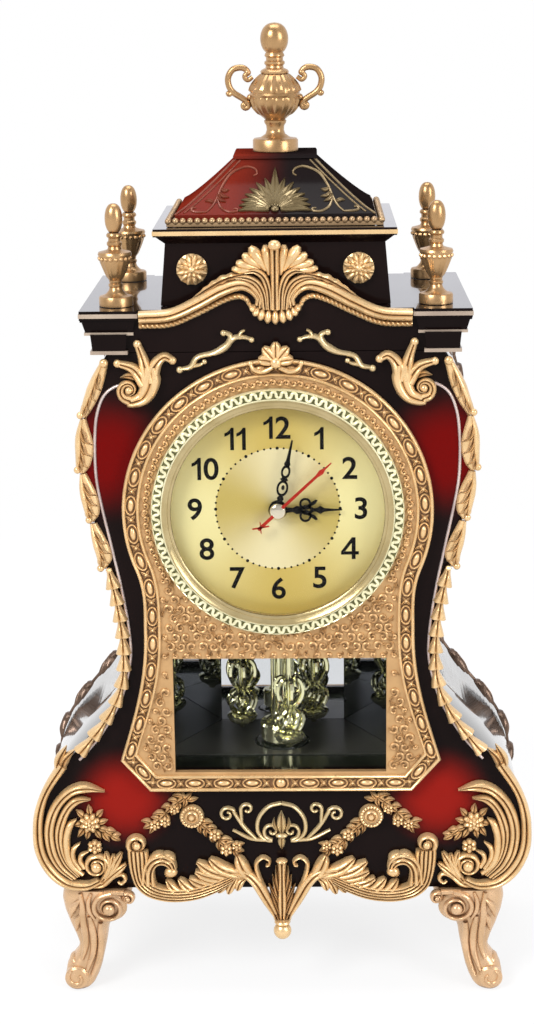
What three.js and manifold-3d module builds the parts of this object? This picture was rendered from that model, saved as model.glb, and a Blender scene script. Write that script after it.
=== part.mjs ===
// Free-standing musical table clock in the rococo style: a waisted case on four
// scrolled feet, gilt mounts, a round quartz dial and a glazed chamber with a turning
// pendulum. Millimetres, +Z up, the dial faces -Y, the floor is Z = 0.

import * as THREE from 'three';
import { mergeVertices } from 'three/addons/utils/BufferGeometryUtils.js';
import Module from 'manifold-3d';

const wasm = await Module();
wasm.setup();

// Gap between seated pieces, wall of the mouldings, and how far joined solids and cutters overrun
const SEAT = 0.3;
const WALL = 3;
const LAP = 1;

// Case: height from its floor, half-widths of the waisted outline, depth
const CASE_DEPTH = 104;
const CASE_HEIGHT = 263;
const BASE_HALF = 101;
const BULGE_HALF = 117;
const BULGE_RISE = 26;
const WAIST_HALF = 74;
const WAIST_RISE = 121;
const SHOULDER_HALF = 89;
const SHOULDER_RISE = 218;
const NECK_HALF = 76;
const OUTLINE_STEPS = 22;
const ROUNDING = 2.4;

// Feet
const FOOT_HEIGHT = 53.7;
const FOOT_INSET = 12;
const FOOT_SETBACK = 10;
const FOOT_SPLAY = 0.4;

// Top deck, capitals and pediment
const DECK_HALF = 88;
const DECK_RISE = 19.2;
const DECK_THICKNESS = 5.5;
const CAPITAL_HALF = 13;
const CAPITAL_PROUD = 3;
const PEDIMENT_HALF = 62;
const PEDIMENT_THICKNESS = 5;

// Attic, bead rail and roof
const ATTIC_HALF = 49.5;
const ATTIC_BATTER = 2.5;
const ATTIC_HALF_DEPTH = 42;
const ATTIC_HEIGHT = 35;
const CORNICE_PROUD = 5;
const CORNICE_HEIGHT = 3.5;
const ROOF_HALF = 45;
const ROOF_HALF_DEPTH = 37;
const ROOF_HEIGHT = 29.7;
const ROOF_TOP_HALF = 18;
const ROOF_HIP_RATIO = 0.8;
const ROOF_LIP = 2;
const BEAD_RAIL_WIDTH = 4.2;
const BEAD_RAIL_HEIGHT = 4.8;

// Urn and corner finials
const URN_BASE_RADIUS = 10.5;
const URN_BOWL_RADIUS = 11.3;
const URN_COLLAR_RADIUS = 6.5;
const URN_EGG_RADIUS = 6.45;
const URN_HANDLE_REACH = 21;
const URN_HANDLE_RADIUS = 1.2;
const FINIAL_BASE_RADIUS = 7.75;
const FINIAL_BOWL_RADIUS = 7.5;
const FINIAL_EGG_RADIUS = 4.05;
const FINIAL_INSET_X = 15.5;
const FINIAL_INSET_Y = 13;

// Gilt mounts on the front panel
const MOUNT_RELIEF = 4.5;
const FINE_RELIEF = 3;
const CREST_SHARE = 0.5;
const CREST_LEAST = 0.6;
const CHAIN_WIDTH = 7.6;
const CHAIN_OVERHANG = 2.8;
const CHAIN_LEAVES = 21;
const REAR_LEAVES = 13;
const CHAIN_TOP_DROP = 6;
const CHAIN_BOTTOM_RISE = 80;
const REAR_MOUNT_RISE = 4;
const REAR_MOUNT_RELIEF = 2.8;
const CREST_WIDTH = 8.6;
const CREST_RELIEF = 5;
const CREST_HEART_RISE = 8;
const CREST_SHELL_HALF = 19;
const CREST_SHELL_RISE = 26;
const CREST_SHELL_RELIEF = 8.2;
const CREST_SKIRT_DROP = 13.5;
const ROSETTE_RADIUS = 7.2;
const ROSETTE_SPACING = 75;
const APRON_LEAF_DROP = 16;
const DROP_RADIUS = 4.3;
const SWAG_ROSETTE_RADIUS = 5.6;
const SWAG_X = 42.8;
const SWAG_RISE = 38.3;

// Dial, bezel and frame
const DIAL_RISE = 189;
const BEZEL_RADIUS = 58;
const BEZEL_SIGHT = 49;
const BEZEL_SPIGOT = 52.5;
const BEZEL_PROUD = 4;
const LENS_RADIUS = 50.5;
const LENS_THICKNESS = 1.5;
const DIAL_RADIUS = 55;
const DIAL_THICKNESS = 1.5;
const FRAME_MARGIN = 13.5;
const FRAME_RISE = 52;
const FRAME_WAIST_MARGIN = 11;
const FRAME_CORNER_HALF = 75.8;
const FRAME_CORNER_RISE = 15.6;
const FRAME_BASE_HALF = 62.2;
const FRAME_THICKNESS = 3;
const FRAME_BORDER = 8.2;
const FRAME_BORDER_PROUD = 2;
const FRAME_CROWN_RADIUS = 9;

// Window and pendulum chamber
const WINDOW_HALF = 50;
const WINDOW_HEIGHT = 56.8;
const WINDOW_SILL = 1.4;
const GLASS_THICKNESS = 1.5;
const GLASS_LAP = 3;
const FLOOR_DROP = 3.6;
const FLOOR_THICKNESS = 3;
const FLOOR_LIP = 14;
const FLOOR_LIP_THICKNESS = 2;
const MIRROR_THICKNESS = 1.5;
const MIRROR_BACK_HALF = 32.7;
const MIRROR_BACK_Y = 24;
const MIRROR_FRONT_HALF = 62;
const MIRROR_FRONT_Y = -24;
const MIRROR_HEIGHT = 66;
const PENDULUM_Y = -6.5;
const PENDULUM_HEIGHT = 62;
const PENDULUM_REACH = 21;
const PENDULUM_REST = THREE.MathUtils.degToRad(11);
const COLUMN_RADIUS = 4.8;
const COLUMN_CUP_RADIUS = 11;
const COLUMN_HEAD_RADIUS = 7;
const ARM_SIZE = 3;
const PENDANTS = 3;
const PENDANT_RADIUS = 7;
const PENDANT_CLEARANCE = 5;
const TURNTABLE_RADIUS = 13.2;
const TURNTABLE_HEIGHT = 1.2;
const MOTOR_SHAFT_RADIUS = 2;
const MOTOR_SHAFT_LENGTH = 6;
const MOTOR_HALF = 18;
const MOTOR_HEIGHT = 20;

// Quartz movement
const MOVEMENT_HALF = 28.5;
const MOVEMENT_DEPTH = 15.5;
const MOVEMENT_PLATE = 1.5;
const MOVEMENT_WALL = 1.2;
const CELL_RADIUS = 7;
const CELL_LENGTH = 50.5;
const NUB_RADIUS = 2.6;
const NUB_LENGTH = 1.5;
const CELL_CLEARANCE = 0.35;
const BUSH_RADIUS = 3.8;
const BUSH_LENGTH = 3.2;
const ARBOR_RADIUS = 0.8;
const ARBOR_CLEARANCE = 0.35;
const PIPE_WALL = 0.55;
const TRAIN_MODULE = 0.45;
const MOTION_MODULE = 0.6;
const WHEEL_THICKNESS = 1;
const LAYER_PITCH = 1.8;
const PINION_EXTRA = 0.2;
const STUD_RADIUS = 0.9;
const SETTING_ARBOR_RADIUS = 1.2;
const KNOB_RADIUS = 6;
const KNOB_LENGTH = 4.5;

// Teeth of the going train and of the motion work
const SECOND_PINION = 6;
const THIRD_WHEEL = 48;
const THIRD_PINION = 6;
const CENTRE_WHEEL = 45;
const CANNON_PINION = 8;
const MOTION_WHEEL = 24;
const MOTION_PINION = 8;
const HOUR_WHEEL = 32;
const SETTING_PINION = 8;

// Hands: length, and the time that they show at rest
const HOUR_HAND_LENGTH = 29.6;
const MINUTE_HAND_LENGTH = 34;
const SECOND_HAND_LENGTH = 33.7;
const SECOND_HAND_TAIL = 14.2;
const HAND_THICKNESS = 0.8;
const HAND_SPACING = 1;
const HAND_HALF_WIDTH = 0.6;
const HAND_POINT = 5;
const HOUR_HAND_ANGLE = THREE.MathUtils.degToRad(90);
const MINUTE_HAND_ANGLE = THREE.MathUtils.degToRad(11.8);
const SECOND_HAND_ANGLE = THREE.MathUtils.degToRad(47);
const CAP_RADIUS = 4.3;

// Back cover, door, controls and sound module
const COVER_THICKNESS = 3;
const DOOR_HALF = 46;
const DOOR_HEIGHT = 220;
const DOOR_RISE = 16;
const DOOR_LAP = 4;
const DOOR_THICKNESS = 3;
const HINGE_RADIUS = 2.4;
const HINGE_PIN_RADIUS = 1.2;
const HINGE_PIN_LENGTH = 4;
const DOOR_RIB = 2;
const PULL_HEIGHT = 24;
const PULL_INSET = 4;
const PULL_THICKNESS = 3;
const PULL_PROUD = 5.6;
const CONTROL_X = BULGE_HALF - 35;
const FLANGE_THICKNESS = 1.5;
const BUTTON_RADIUS = 4;
const BUTTON_TRAVEL = 1.5;
const BUTTON_RISE = 22;
const SWITCH_WIDTH = 7;
const SWITCH_HEIGHT = 4;
const SWITCH_TRAVEL = 5;
const SWITCH_RISE = 40;
const SPEAKER_RADIUS = 20;
const SPEAKER_DEPTH = 14;
const SPEAKER_RISE = 30;
const GRILLE_SLOTS = 5;
const GRILLE_SLOT_WIDTH = 2.4;
const GRILLE_PITCH = 5.28;
const MODULE_HALF = 32;
const MODULE_HEIGHT = 36;
const MODULE_DEPTH = 24;
const MODULE_SETBACK = 9;
const MODULE_WALL = 1.6;

// Levels and planes worked out from the sizes above
const FRONT = -CASE_DEPTH / 2;
const REAR = CASE_DEPTH / 2;
const PANEL = FRONT - SEAT;
const CASE_FLOOR = FOOT_HEIGHT + SEAT;
const NECK = CASE_FLOOR + CASE_HEIGHT;
const DECK_TOP = NECK + SEAT + DECK_RISE;
const ATTIC_TOP = DECK_TOP + SEAT + ATTIC_HEIGHT;
const ROOF_FOOT = ATTIC_TOP + SEAT;
const ROOF_TOP = ROOF_FOOT + ROOF_HEIGHT;
const DIAL_Z = CASE_FLOOR + DIAL_RISE;
const FRAME_BOTTOM = CASE_FLOOR + FRAME_RISE;
const WINDOW_BOTTOM = FRAME_BOTTOM + FRAME_BORDER + WINDOW_SILL;
const WINDOW_TOP = WINDOW_BOTTOM + WINDOW_HEIGHT;
const FLOOR_TOP = WINDOW_BOTTOM - FLOOR_DROP;
const PANEL_BACK = FRONT + WALL;

// Finishes: colour, roughness, metalness
const FINISHES = {
  lacquer: { color: 0x1c0b0a, roughness: 0.12, metalness: 0 },
  roofLacquer: { color: 0x3a120e, roughness: 0.12, metalness: 0 },
  gilt: { color: 0xb98d52, roughness: 0.38, metalness: 0.8 },
  footGilt: { color: 0xc29a6c, roughness: 0.42, metalness: 0.7 },
  bezelGilt: { color: 0xd6d39a, roughness: 0.25, metalness: 0.9 },
  dialGold: { color: 0xd9bd68, roughness: 0.35, metalness: 0.8 },
  black: { color: 0x0b0b0b, roughness: 0.4, metalness: 0 },
  red: { color: 0xb01810, roughness: 0.4, metalness: 0 },
  glass: { color: 0xf2f5f5, roughness: 0.02, metalness: 0, transparent: true, opacity: 0.2 },
  mirror: { color: 0xe6e6ee, roughness: 0.03, metalness: 1 },
  floor: { color: 0x2b2d2a, roughness: 0.25, metalness: 0 },
  chromeGold: { color: 0xd2cd8e, roughness: 0.12, metalness: 1 },
  plastic: { color: 0x141414, roughness: 0.55, metalness: 0 },
  nylon: { color: 0xe4e0d2, roughness: 0.5, metalness: 0 },
  cell: { color: 0x2f4a3a, roughness: 0.35, metalness: 0.4 },
  cone: { color: 0x1d1d1f, roughness: 0.7, metalness: 0 },
};

const clock = new THREE.Group();

// Turns a three.js geometry into a closed solid with its faces pointing out
function solid(geometry) {
  const bare = geometry.clone();
  bare.deleteAttribute('normal');
  bare.deleteAttribute('uv');
  const merged = mergeVertices(bare, 1e-4);
  const points = merged.attributes.position.array;
  const corners = merged.index.array;
  const triangles = [];
  let volume = 0;
  const a = new THREE.Vector3();
  const b = new THREE.Vector3();
  const c = new THREE.Vector3();
  for (let i = 0; i < corners.length; i += 3) {
    const [p, q, r] = [corners[i], corners[i + 1], corners[i + 2]];
    if (p === q || q === r || r === p) continue;
    a.fromArray(points, 3 * p);
    b.fromArray(points, 3 * q);
    c.fromArray(points, 3 * r);
    volume += a.dot(b.cross(c));
    triangles.push([p, q, r]);
  }
  const outward = volume > 0 ? triangles : triangles.map(([p, q, r]) => [p, r, q]);
  const triVerts = new Uint32Array(outward.flat());
  const vertProperties = new Float32Array(points);
  return new wasm.Manifold(new wasm.Mesh({ numProp: 3, vertProperties, triVerts }));
}

function geometryOf(body) {
  const { vertProperties, triVerts, numProp } = body.getMesh();
  const points = [];
  for (let i = 0; i < vertProperties.length; i += numProp) {
    points.push(vertProperties[i], vertProperties[i + 1], vertProperties[i + 2]);
  }
  const geometry = new THREE.BufferGeometry();
  geometry.setAttribute('position', new THREE.Float32BufferAttribute(points, 3));
  geometry.setIndex([...triVerts]);
  geometry.computeVertexNormals();
  return geometry;
}

const join = (...bodies) => bodies.reduce((whole, body) => whole.add(body));
const cut = (body, ...tools) => tools.reduce((rest, tool) => rest.subtract(tool), body);

function addPiece(name, body, finish) {
  const material = new THREE.MeshStandardMaterial(FINISHES[finish]);
  const mesh = new THREE.Mesh(geometryOf(body), material);
  mesh.name = name;
  clock.add(mesh);
}

function box(low, high) {
  const size = high.map((value, i) => value - low[i]);
  const geometry = new THREE.BoxGeometry(...size);
  geometry.translate(...low.map((value, i) => value + size[i] / 2));
  return solid(geometry);
}

// A shape drawn in X and Z, front view, given depth along Y from front to back
function slabGeometry(shape, front, back, curveSegments, bevel) {
  const depth = back - front - 2 * bevel;
  const options = { depth, curveSegments, bevelEnabled: bevel > 0, bevelSegments: 1 };
  Object.assign(options, { bevelThickness: bevel, bevelSize: bevel, bevelOffset: -bevel });
  const geometry = new THREE.ExtrudeGeometry(shape, options);
  geometry.rotateX(Math.PI / 2);
  geometry.translate(0, back - bevel, 0);
  return geometry;
}

function slab(shape, front, back, curveSegments = 12, bevel = 0) {
  return solid(slabGeometry(shape, front, back, curveSegments, bevel));
}

function circle(x, z, radius) {
  const shape = new THREE.Shape();
  shape.absarc(x, z, radius, 0, 2 * Math.PI, false);
  return shape;
}


function disc(x, z, radius, front, back, sides = 24) {
  return slab(circle(x, z, radius), front, back, sides / 2);
}

// A profile of [radius, height] points turned about the Z axis
function turned(profile, sides, x = 0, y = 0, z = 0) {
  const points = profile.map(([radius, height]) => new THREE.Vector2(radius, height));
  const geometry = new THREE.LatheGeometry(points, sides);
  geometry.rotateX(Math.PI / 2);
  geometry.translate(x, y, z);
  return solid(geometry);
}

// A profile of [radius, y] points turned about a front-to-back axis at (x, z)
function turnedFacing(profile, sides, x, z) {
  const points = profile.map(([radius, y]) => new THREE.Vector2(radius, y));
  const geometry = new THREE.LatheGeometry(points, sides);
  geometry.translate(x, 0, z);
  return solid(geometry);
}

// A skin over rings of equal point counts, closed at both ends
function loft(rings) {
  const count = rings[0].length;
  const points = rings.flat();
  const index = [];
  for (let ring = 0; ring + 1 < rings.length; ring += 1) {
    for (let i = 0; i < count; i += 1) {
      const p = ring * count + i;
      const q = ring * count + ((i + 1) % count);
      index.push(p, q, q + count, p, q + count, p + count);
    }
  }
  const last = (rings.length - 1) * count;
  for (let i = 1; i + 1 < count; i += 1) {
    index.push(0, i + 1, i, last, last + i, last + i + 1);
  }
  const geometry = new THREE.BufferGeometry();
  geometry.setAttribute('position', new THREE.Float32BufferAttribute(points.flat(), 3));
  geometry.setIndex(index);
  return solid(geometry);
}

// Rectangular rings of [half width, half depth, height] about (x, y)
function stack(levels, x = 0, y = 0) {
  const corners = [[-1, -1], [1, -1], [1, 1], [-1, 1]];
  const ring = ([halfX, halfY, z]) => corners.map(([i, j]) => [x + i * halfX, y + j * halfY, z]);
  return loft(levels.map(ring));
}

function between(values, t) {
  const place = t * (values.length - 1);
  const left = Math.min(Math.floor(place), values.length - 2);
  return THREE.MathUtils.lerp(values[left], values[left + 1], place - left);
}

// A strand of the gilt mounts on the front panel: a tapering band with a flat crest along [x, z] points
function scroll(points, widths, relief, steps) {
  const path = new THREE.CatmullRomCurve3(points.map(([x, z]) => new THREE.Vector3(x, 0, z)));
  const fullWidth = 0.5 * MOUNT_RELIEF;
  const rings = [];
  for (let i = 0; i <= steps; i += 1) {
    const t = i / steps;
    const { x, z } = path.getPointAt(t);
    const along = path.getTangentAt(t);
    const half = between(widths, t) / 2;
    const crest = PANEL - relief * THREE.MathUtils.lerp(CREST_LEAST, 1, Math.min(1, half / fullWidth));
    const edge = (offset, y) => [x - offset * along.z, y, z + offset * along.x];
    const top = CREST_SHARE * half;
    rings.push([edge(half, PANEL), edge(top, crest), edge(-top, crest), edge(-half, PANEL)]);
  }
  return loft(rings);
}

// Strands cast in one piece
function casting(strands, place, relief = MOUNT_RELIEF) {
  return join(...strands.map(({ route, widths, steps }) => scroll(place(route), widths, relief, steps)));
}

const mirrored = (side, points) => points.map(([x, z]) => [side * x, z]);
const raised = (points, level) => points.map(([x, z]) => [x, z + level]);

// Half-width of the case at height z: rounded under the bulge and above the shoulder
function caseHalf(z) {
  const rise = z - CASE_FLOOR;
  const ease = (t) => t * t * t * (t * (6 * t - 15) + 10);
  if (rise < BULGE_RISE) {
    const t = (BULGE_RISE - rise) / BULGE_RISE;
    return BULGE_HALF - (BULGE_HALF - BASE_HALF) * t ** ROUNDING;
  }
  if (rise < WAIST_RISE) {
    const t = (rise - BULGE_RISE) / (WAIST_RISE - BULGE_RISE);
    return THREE.MathUtils.lerp(BULGE_HALF, WAIST_HALF, ease(t));
  }
  if (rise < SHOULDER_RISE) {
    const t = (rise - WAIST_RISE) / (SHOULDER_RISE - WAIST_RISE);
    return THREE.MathUtils.lerp(WAIST_HALF, SHOULDER_HALF, t * t * (3 - 2 * t));
  }
  const t = (rise - SHOULDER_RISE) / (CASE_HEIGHT - SHOULDER_RISE);
  return SHOULDER_HALF - (SHOULDER_HALF - NECK_HALF) * t ** ROUNDING;
}

// The flank's run per unit of height at z, and the length of that step
function caseSlope(z) {
  const run = caseHalf(z + 0.5) - caseHalf(z - 0.5);
  return { run, norm: Math.hypot(1, run) };
}

function caseOutline(inset) {
  const right = [];
  for (let i = 0; i <= OUTLINE_STEPS; i += 1) {
    const level = THREE.MathUtils.lerp(CASE_FLOOR, NECK, i / OUTLINE_STEPS);
    const z = THREE.MathUtils.clamp(level, CASE_FLOOR + inset, NECK - inset);
    right.push(new THREE.Vector2(caseHalf(z) - inset, z));
  }
  const left = right.map(({ x, y }) => new THREE.Vector2(-x, y)).reverse();
  return new THREE.Shape([...right, ...left]);
}

// Case shell: open at the back, with the dial and window openings in its front wall
function bodyShell() {
  const outside = slab(caseOutline(0), FRONT, REAR);
  const hollow = slab(caseOutline(WALL), PANEL_BACK, REAR + WALL);
  const dialHole = disc(0, DIAL_Z, BEZEL_SPIGOT + SEAT, FRONT - WALL, PANEL_BACK + WALL, 28);
  const windowHole = box(
    [-WINDOW_HALF, FRONT - WALL, WINDOW_BOTTOM],
    [WINDOW_HALF, PANEL_BACK + WALL, WINDOW_TOP],
  );
  return cut(outside, hollow, dialHole, windowHole);
}

// Scrolled foot: rings of [share of the height, outward, half width, half depth] from toe to seat
function foot(side, end) {
  const corners = 8;
  const levels = [
    [0, 10, 6.5, 6.5],
    [0.07, 10.2, 8, 8],
    [0.18, 10, 9, 8.5],
    [0.3, 8.6, 8.2, 7.5],
    [0.41, 5.2, 7, 7],
    [0.63, 6.8, 10.4, 10],
    [0.77, 3.2, 15.4, 13],
    [0.88, 0.8, 18, 14],
    [1, 0, 17, 14],
  ];
  const rings = levels.map(([share, outward, halfX, halfY]) => {
    const x = BASE_HALF - FOOT_INSET + outward;
    const y = REAR - FOOT_SETBACK + FOOT_SPLAY * outward;
    return Array.from({ length: corners }, (unused, i) => {
      const angle = ((i + 0.5) * 2 * Math.PI) / corners;
      const reach = 1 / Math.cos(Math.PI / corners);
      return [
        side * (x + reach * halfX * Math.cos(angle)),
        end * (y + reach * halfY * Math.sin(angle)),
        share * FOOT_HEIGHT,
      ];
    });
  });
  return loft(rings);
}

// The ogee pediment's upper edge, from its foot to the middle
const CREST_LEVEL = DECK_TOP - DECK_THICKNESS;
const PEDIMENT_CURVE = raised(
  [[PEDIMENT_HALF, 0], [52, 1.8], [38, 7], [27, 13.5], [18, 17], [11, 15]],
  CREST_LEVEL,
);

function topDeck() {
  const foundation = NECK + SEAT;
  const board = box([-DECK_HALF, FRONT, CREST_LEVEL], [DECK_HALF, REAR, DECK_TOP]);
  const frieze = box([-NECK_HALF, FRONT, foundation], [NECK_HALF, REAR, CREST_LEVEL + LAP]);
  const hollow = box(
    [WALL - NECK_HALF, PANEL_BACK, foundation - LAP],
    [NECK_HALF - WALL, REAR - WALL, CREST_LEVEL],
  );
  const ogee = PEDIMENT_CURVE.map(([x, z]) => new THREE.Vector2(x, z));
  const left = ogee.map(({ x, y }) => new THREE.Vector2(-x, y)).reverse();
  const crest = new THREE.Shape();
  crest.moveTo(-PEDIMENT_HALF, foundation + LAP);
  crest.lineTo(PEDIMENT_HALF, foundation + LAP);
  crest.lineTo(ogee[0].x, ogee[0].y);
  crest.splineThru(ogee.slice(1));
  crest.lineTo(left[0].x, left[0].y);
  crest.splineThru(left.slice(1));
  const pediment = slab(crest, FRONT, FRONT + PEDIMENT_THICKNESS, 4);
  const capitals = [];
  for (const side of [-1, 1]) {
    for (const end of [-1, 1]) {
      capitals.push(capital(side, end));
    }
  }
  return join(cut(join(board, frieze), hollow), pediment, ...capitals);
}

function capital(side, end) {
  const foundation = NECK + SEAT;
  const x = side * (DECK_HALF - CAPITAL_HALF);
  const y = end * (REAR + CAPITAL_PROUD - CAPITAL_HALF);
  const neck = foundation + 0.45 * DECK_RISE;
  const throat = foundation + 0.78 * DECK_RISE;
  const levels = [
    [CAPITAL_HALF - 6, foundation],
    [CAPITAL_HALF - 5, neck],
    [CAPITAL_HALF - 2.6, neck],
    [CAPITAL_HALF - 0.8, throat],
    [CAPITAL_HALF, throat],
    [CAPITAL_HALF, DECK_TOP],
  ];
  return stack(levels.map(([half, z]) => [half, half, z]), x, y);
}

// Moulded storey over the deck, hollow from below
function attic() {
  const foundation = DECK_TOP + SEAT;
  const frieze = ATTIC_TOP - 2 * CORNICE_HEIGHT;
  const cornice = ATTIC_TOP - CORNICE_HEIGHT;
  const wide = ATTIC_HALF + CORNICE_PROUD;
  const deep = ATTIC_HALF_DEPTH + CORNICE_PROUD;
  const block = stack([
    [ATTIC_HALF + ATTIC_BATTER, ATTIC_HALF_DEPTH, foundation],
    [ATTIC_HALF, ATTIC_HALF_DEPTH, frieze],
    [wide - 1, deep - 1, cornice],
    [wide, deep, cornice],
    [wide, deep, ATTIC_TOP],
  ]);
  const hollow = box(
    [WALL - ATTIC_HALF, WALL - ATTIC_HALF_DEPTH, foundation - LAP],
    [ATTIC_HALF - WALL, ATTIC_HALF_DEPTH - WALL, ATTIC_TOP - WALL],
  );
  return cut(block, hollow);
}

function beadRail() {
  const inner = [ROOF_HALF + SEAT, ROOF_HALF_DEPTH + SEAT];
  const [wide, deep] = inner.map((half) => half + BEAD_RAIL_WIDTH);
  const top = ROOF_FOOT + BEAD_RAIL_HEIGHT;
  const rail = stack([
    [wide - 0.8, deep - 0.8, ROOF_FOOT],
    [wide, deep, ROOF_FOOT + 0.4 * BEAD_RAIL_HEIGHT],
    [wide - 1.6, deep - 1.6, top],
  ]);
  const hole = box([-inner[0], -inner[1], ROOF_FOOT - LAP], [inner[0], inner[1], top + LAP]);
  return cut(rail, hole);
}

// Hipped roof with hollow slopes, a lip at its top and a hollow under it
function roof() {
  const slope = ROOF_HEIGHT - BEAD_RAIL_HEIGHT - ROOF_LIP;
  const topDepth = ROOF_HALF_DEPTH - ROOF_HIP_RATIO * (ROOF_HALF - ROOF_TOP_HALF);
  const ring = (inset, rise, shrink = 0) => [
    THREE.MathUtils.lerp(ROOF_HALF, ROOF_TOP_HALF, inset) - shrink,
    THREE.MathUtils.lerp(ROOF_HALF_DEPTH, topDepth, inset) - shrink,
    ROOF_FOOT + rise,
  ];
  const sweep = [[0, 0], [0.28, 0.22], [0.62, 0.56], [1, 1]];
  const outside = [ring(0, 0)];
  const inside = [ring(0, -LAP, WALL)];
  for (const [inset, share] of sweep) {
    outside.push(ring(inset, BEAD_RAIL_HEIGHT + share * slope));
    inside.push(ring(inset, BEAD_RAIL_HEIGHT + share * slope - WALL, WALL));
  }
  outside.push(ring(1, ROOF_HEIGHT - ROOF_LIP, -1.2));
  outside.push(ring(1, ROOF_HEIGHT, -0.6));
  return cut(stack(outside), stack(inside));
}

const URN_FOOT = ROOF_TOP + SEAT;
const URN_BAND = 25.5;
const URN_BAND_HALF = 1.8;
const URN_COLLAR = 36.2;
const URN_COLLAR_HALF = 1.4;

function urn() {
  const profile = [
    [0, 0],
    [URN_BASE_RADIUS, 0],
    [URN_BASE_RADIUS, 5.5],
    [URN_BASE_RADIUS - 4, 6.2],
    [4.3, 8.6],
    [3, 11.2],
    [3.3, 14.2],
    [6.2, 15.8],
    [URN_BOWL_RADIUS - 1.4, 20],
    [URN_BOWL_RADIUS, URN_BAND - URN_BAND_HALF],
    [URN_BOWL_RADIUS, URN_BAND + URN_BAND_HALF],
    [URN_BOWL_RADIUS - 2, 31.6],
    [URN_COLLAR_RADIUS, URN_COLLAR - URN_COLLAR_HALF],
    [URN_COLLAR_RADIUS, URN_COLLAR + URN_COLLAR_HALF],
    [4, 38.8],
    [4, 41.4],
    [URN_EGG_RADIUS - 1, 44],
    [URN_EGG_RADIUS, 48.2],
    [URN_EGG_RADIUS - 0.6, 52.6],
    [URN_EGG_RADIUS - 2.8, 56.4],
    [0, 57.7],
  ];
  return turned(profile, 12, 0, 0, URN_FOOT);
}

// Ear-shaped handle from the collar out and back to the bowl's band
function urnHandle(side) {
  const route = [
    [URN_COLLAR_RADIUS + SEAT, URN_COLLAR], [URN_COLLAR_RADIUS + 2.4, URN_COLLAR],
    [URN_HANDLE_REACH - 5, URN_COLLAR + 0.3], [URN_HANDLE_REACH, URN_COLLAR - 4.8],
    [URN_HANDLE_REACH - 0.6, URN_BAND - 0.8], [URN_HANDLE_REACH - 4.8, URN_BAND - 2.2],
    [URN_BOWL_RADIUS + 2.4, URN_BAND], [URN_BOWL_RADIUS + SEAT, URN_BAND],
  ];
  const points = mirrored(side, raised(route, URN_FOOT)).map(([x, z]) => new THREE.Vector3(x, 0, z));
  const section = new THREE.Shape();
  section.absarc(0, 0, URN_HANDLE_RADIUS, 0, 2 * Math.PI, false);
  const extrudePath = new THREE.CatmullRomCurve3(points);
  const options = { steps: 12, curveSegments: 3, bevelEnabled: false, extrudePath };
  return solid(new THREE.ExtrudeGeometry(section, options));
}

function finial(side, end) {
  const x = side * (DECK_HALF - FINIAL_INSET_X);
  const y = end * (REAR - FINIAL_INSET_Y);
  const profile = [
    [0, 0],
    [FINIAL_BASE_RADIUS, 0],
    [FINIAL_BASE_RADIUS, 4.3],
    [FINIAL_BASE_RADIUS - 3, 5.6],
    [2.5, 9.6],
    [4, 13],
    [FINIAL_BOWL_RADIUS - 1.2, 18.6],
    [FINIAL_BOWL_RADIUS, 23.4],
    [FINIAL_BOWL_RADIUS - 1.4, 24.8],
    [3, 25.6],
    [2.7, 33.4],
    [FINIAL_EGG_RADIUS, 38.6],
    [FINIAL_EGG_RADIUS - 0.6, 43],
    [0, 46],
  ];
  return turned(profile, 8, x, y, DECK_TOP + SEAT);
}

// A fan of pointed lobes about (x, z), upwards or downwards, drawn front view
function fan(x, z, sideRadius, topRadius, lobes, sweep, upwards = 1) {
  const steps = 2 * lobes;
  const notch = 0.9;
  const points = sweep < Math.PI / 2 ? [new THREE.Vector2(x, z)] : [];
  for (let i = 0; i <= steps; i += 1) {
    const angle = THREE.MathUtils.lerp(-sweep, sweep, i / steps);
    const reach = THREE.MathUtils.lerp(topRadius, sideRadius, Math.abs(angle) / sweep);
    const radius = reach * (i % 2 ? 1 : notch);
    points.push(new THREE.Vector2(x - radius * Math.sin(angle), z + upwards * radius * Math.cos(angle)));
  }
  return new THREE.Shape(points);
}

// Ogee moulding over the pediment with a shell in its middle
function crestRail() {
  const parts = [];
  for (const side of [-1, 1]) {
    const line = PEDIMENT_CURVE.map(([x, z]) => [side * Math.min(x, PEDIMENT_HALF - LAP), z]);
    const widths = [CREST_WIDTH, CREST_WIDTH, CREST_WIDTH, 0.9 * CREST_WIDTH];
    parts.push(scroll(line, widths, CREST_RELIEF, 12));
  }
  const heart = CREST_LEVEL + CREST_HEART_RISE;
  const shell = fan(0, heart, CREST_SHELL_HALF, CREST_SHELL_RISE, 9, 1.75);
  const skirt = fan(0, heart, CREST_SKIRT_DROP, CREST_SKIRT_DROP, 5, 1, -1);
  parts.push(slab(shell, PANEL - CREST_SHELL_RELIEF, PANEL, 12, 1.5));
  parts.push(slab(skirt, PANEL - 0.7 * CREST_SHELL_RELIEF, PANEL, 12, 1));
  return join(...parts);
}

// Leaves overlapping down the edge of the front panel
function leafChain(side) {
  const top = NECK - CHAIN_TOP_DROP;
  const bottom = CASE_FLOOR + CHAIN_BOTTOM_RISE;
  const rings = [];
  for (let leaf = 0; leaf < CHAIN_LEAVES; leaf += 1) {
    for (const [share, width] of [[0.04, 0.62], [0.96, 1]]) {
      const z = THREE.MathUtils.lerp(top, bottom, (leaf + share) / CHAIN_LEAVES);
      const { run, norm } = caseSlope(z);
      const middle = caseHalf(z) + CHAIN_OVERHANG - CHAIN_WIDTH / 2;
      const half = (width * CHAIN_WIDTH) / 2;
      const edge = (offset, y) => [side * (middle + offset / norm), y, z - (offset * run) / norm];
      rings.push([edge(-half, PANEL), edge(0, PANEL - MOUNT_RELIEF * width), edge(half, PANEL)]);
    }
  }
  return loft(rings);
}

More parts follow.
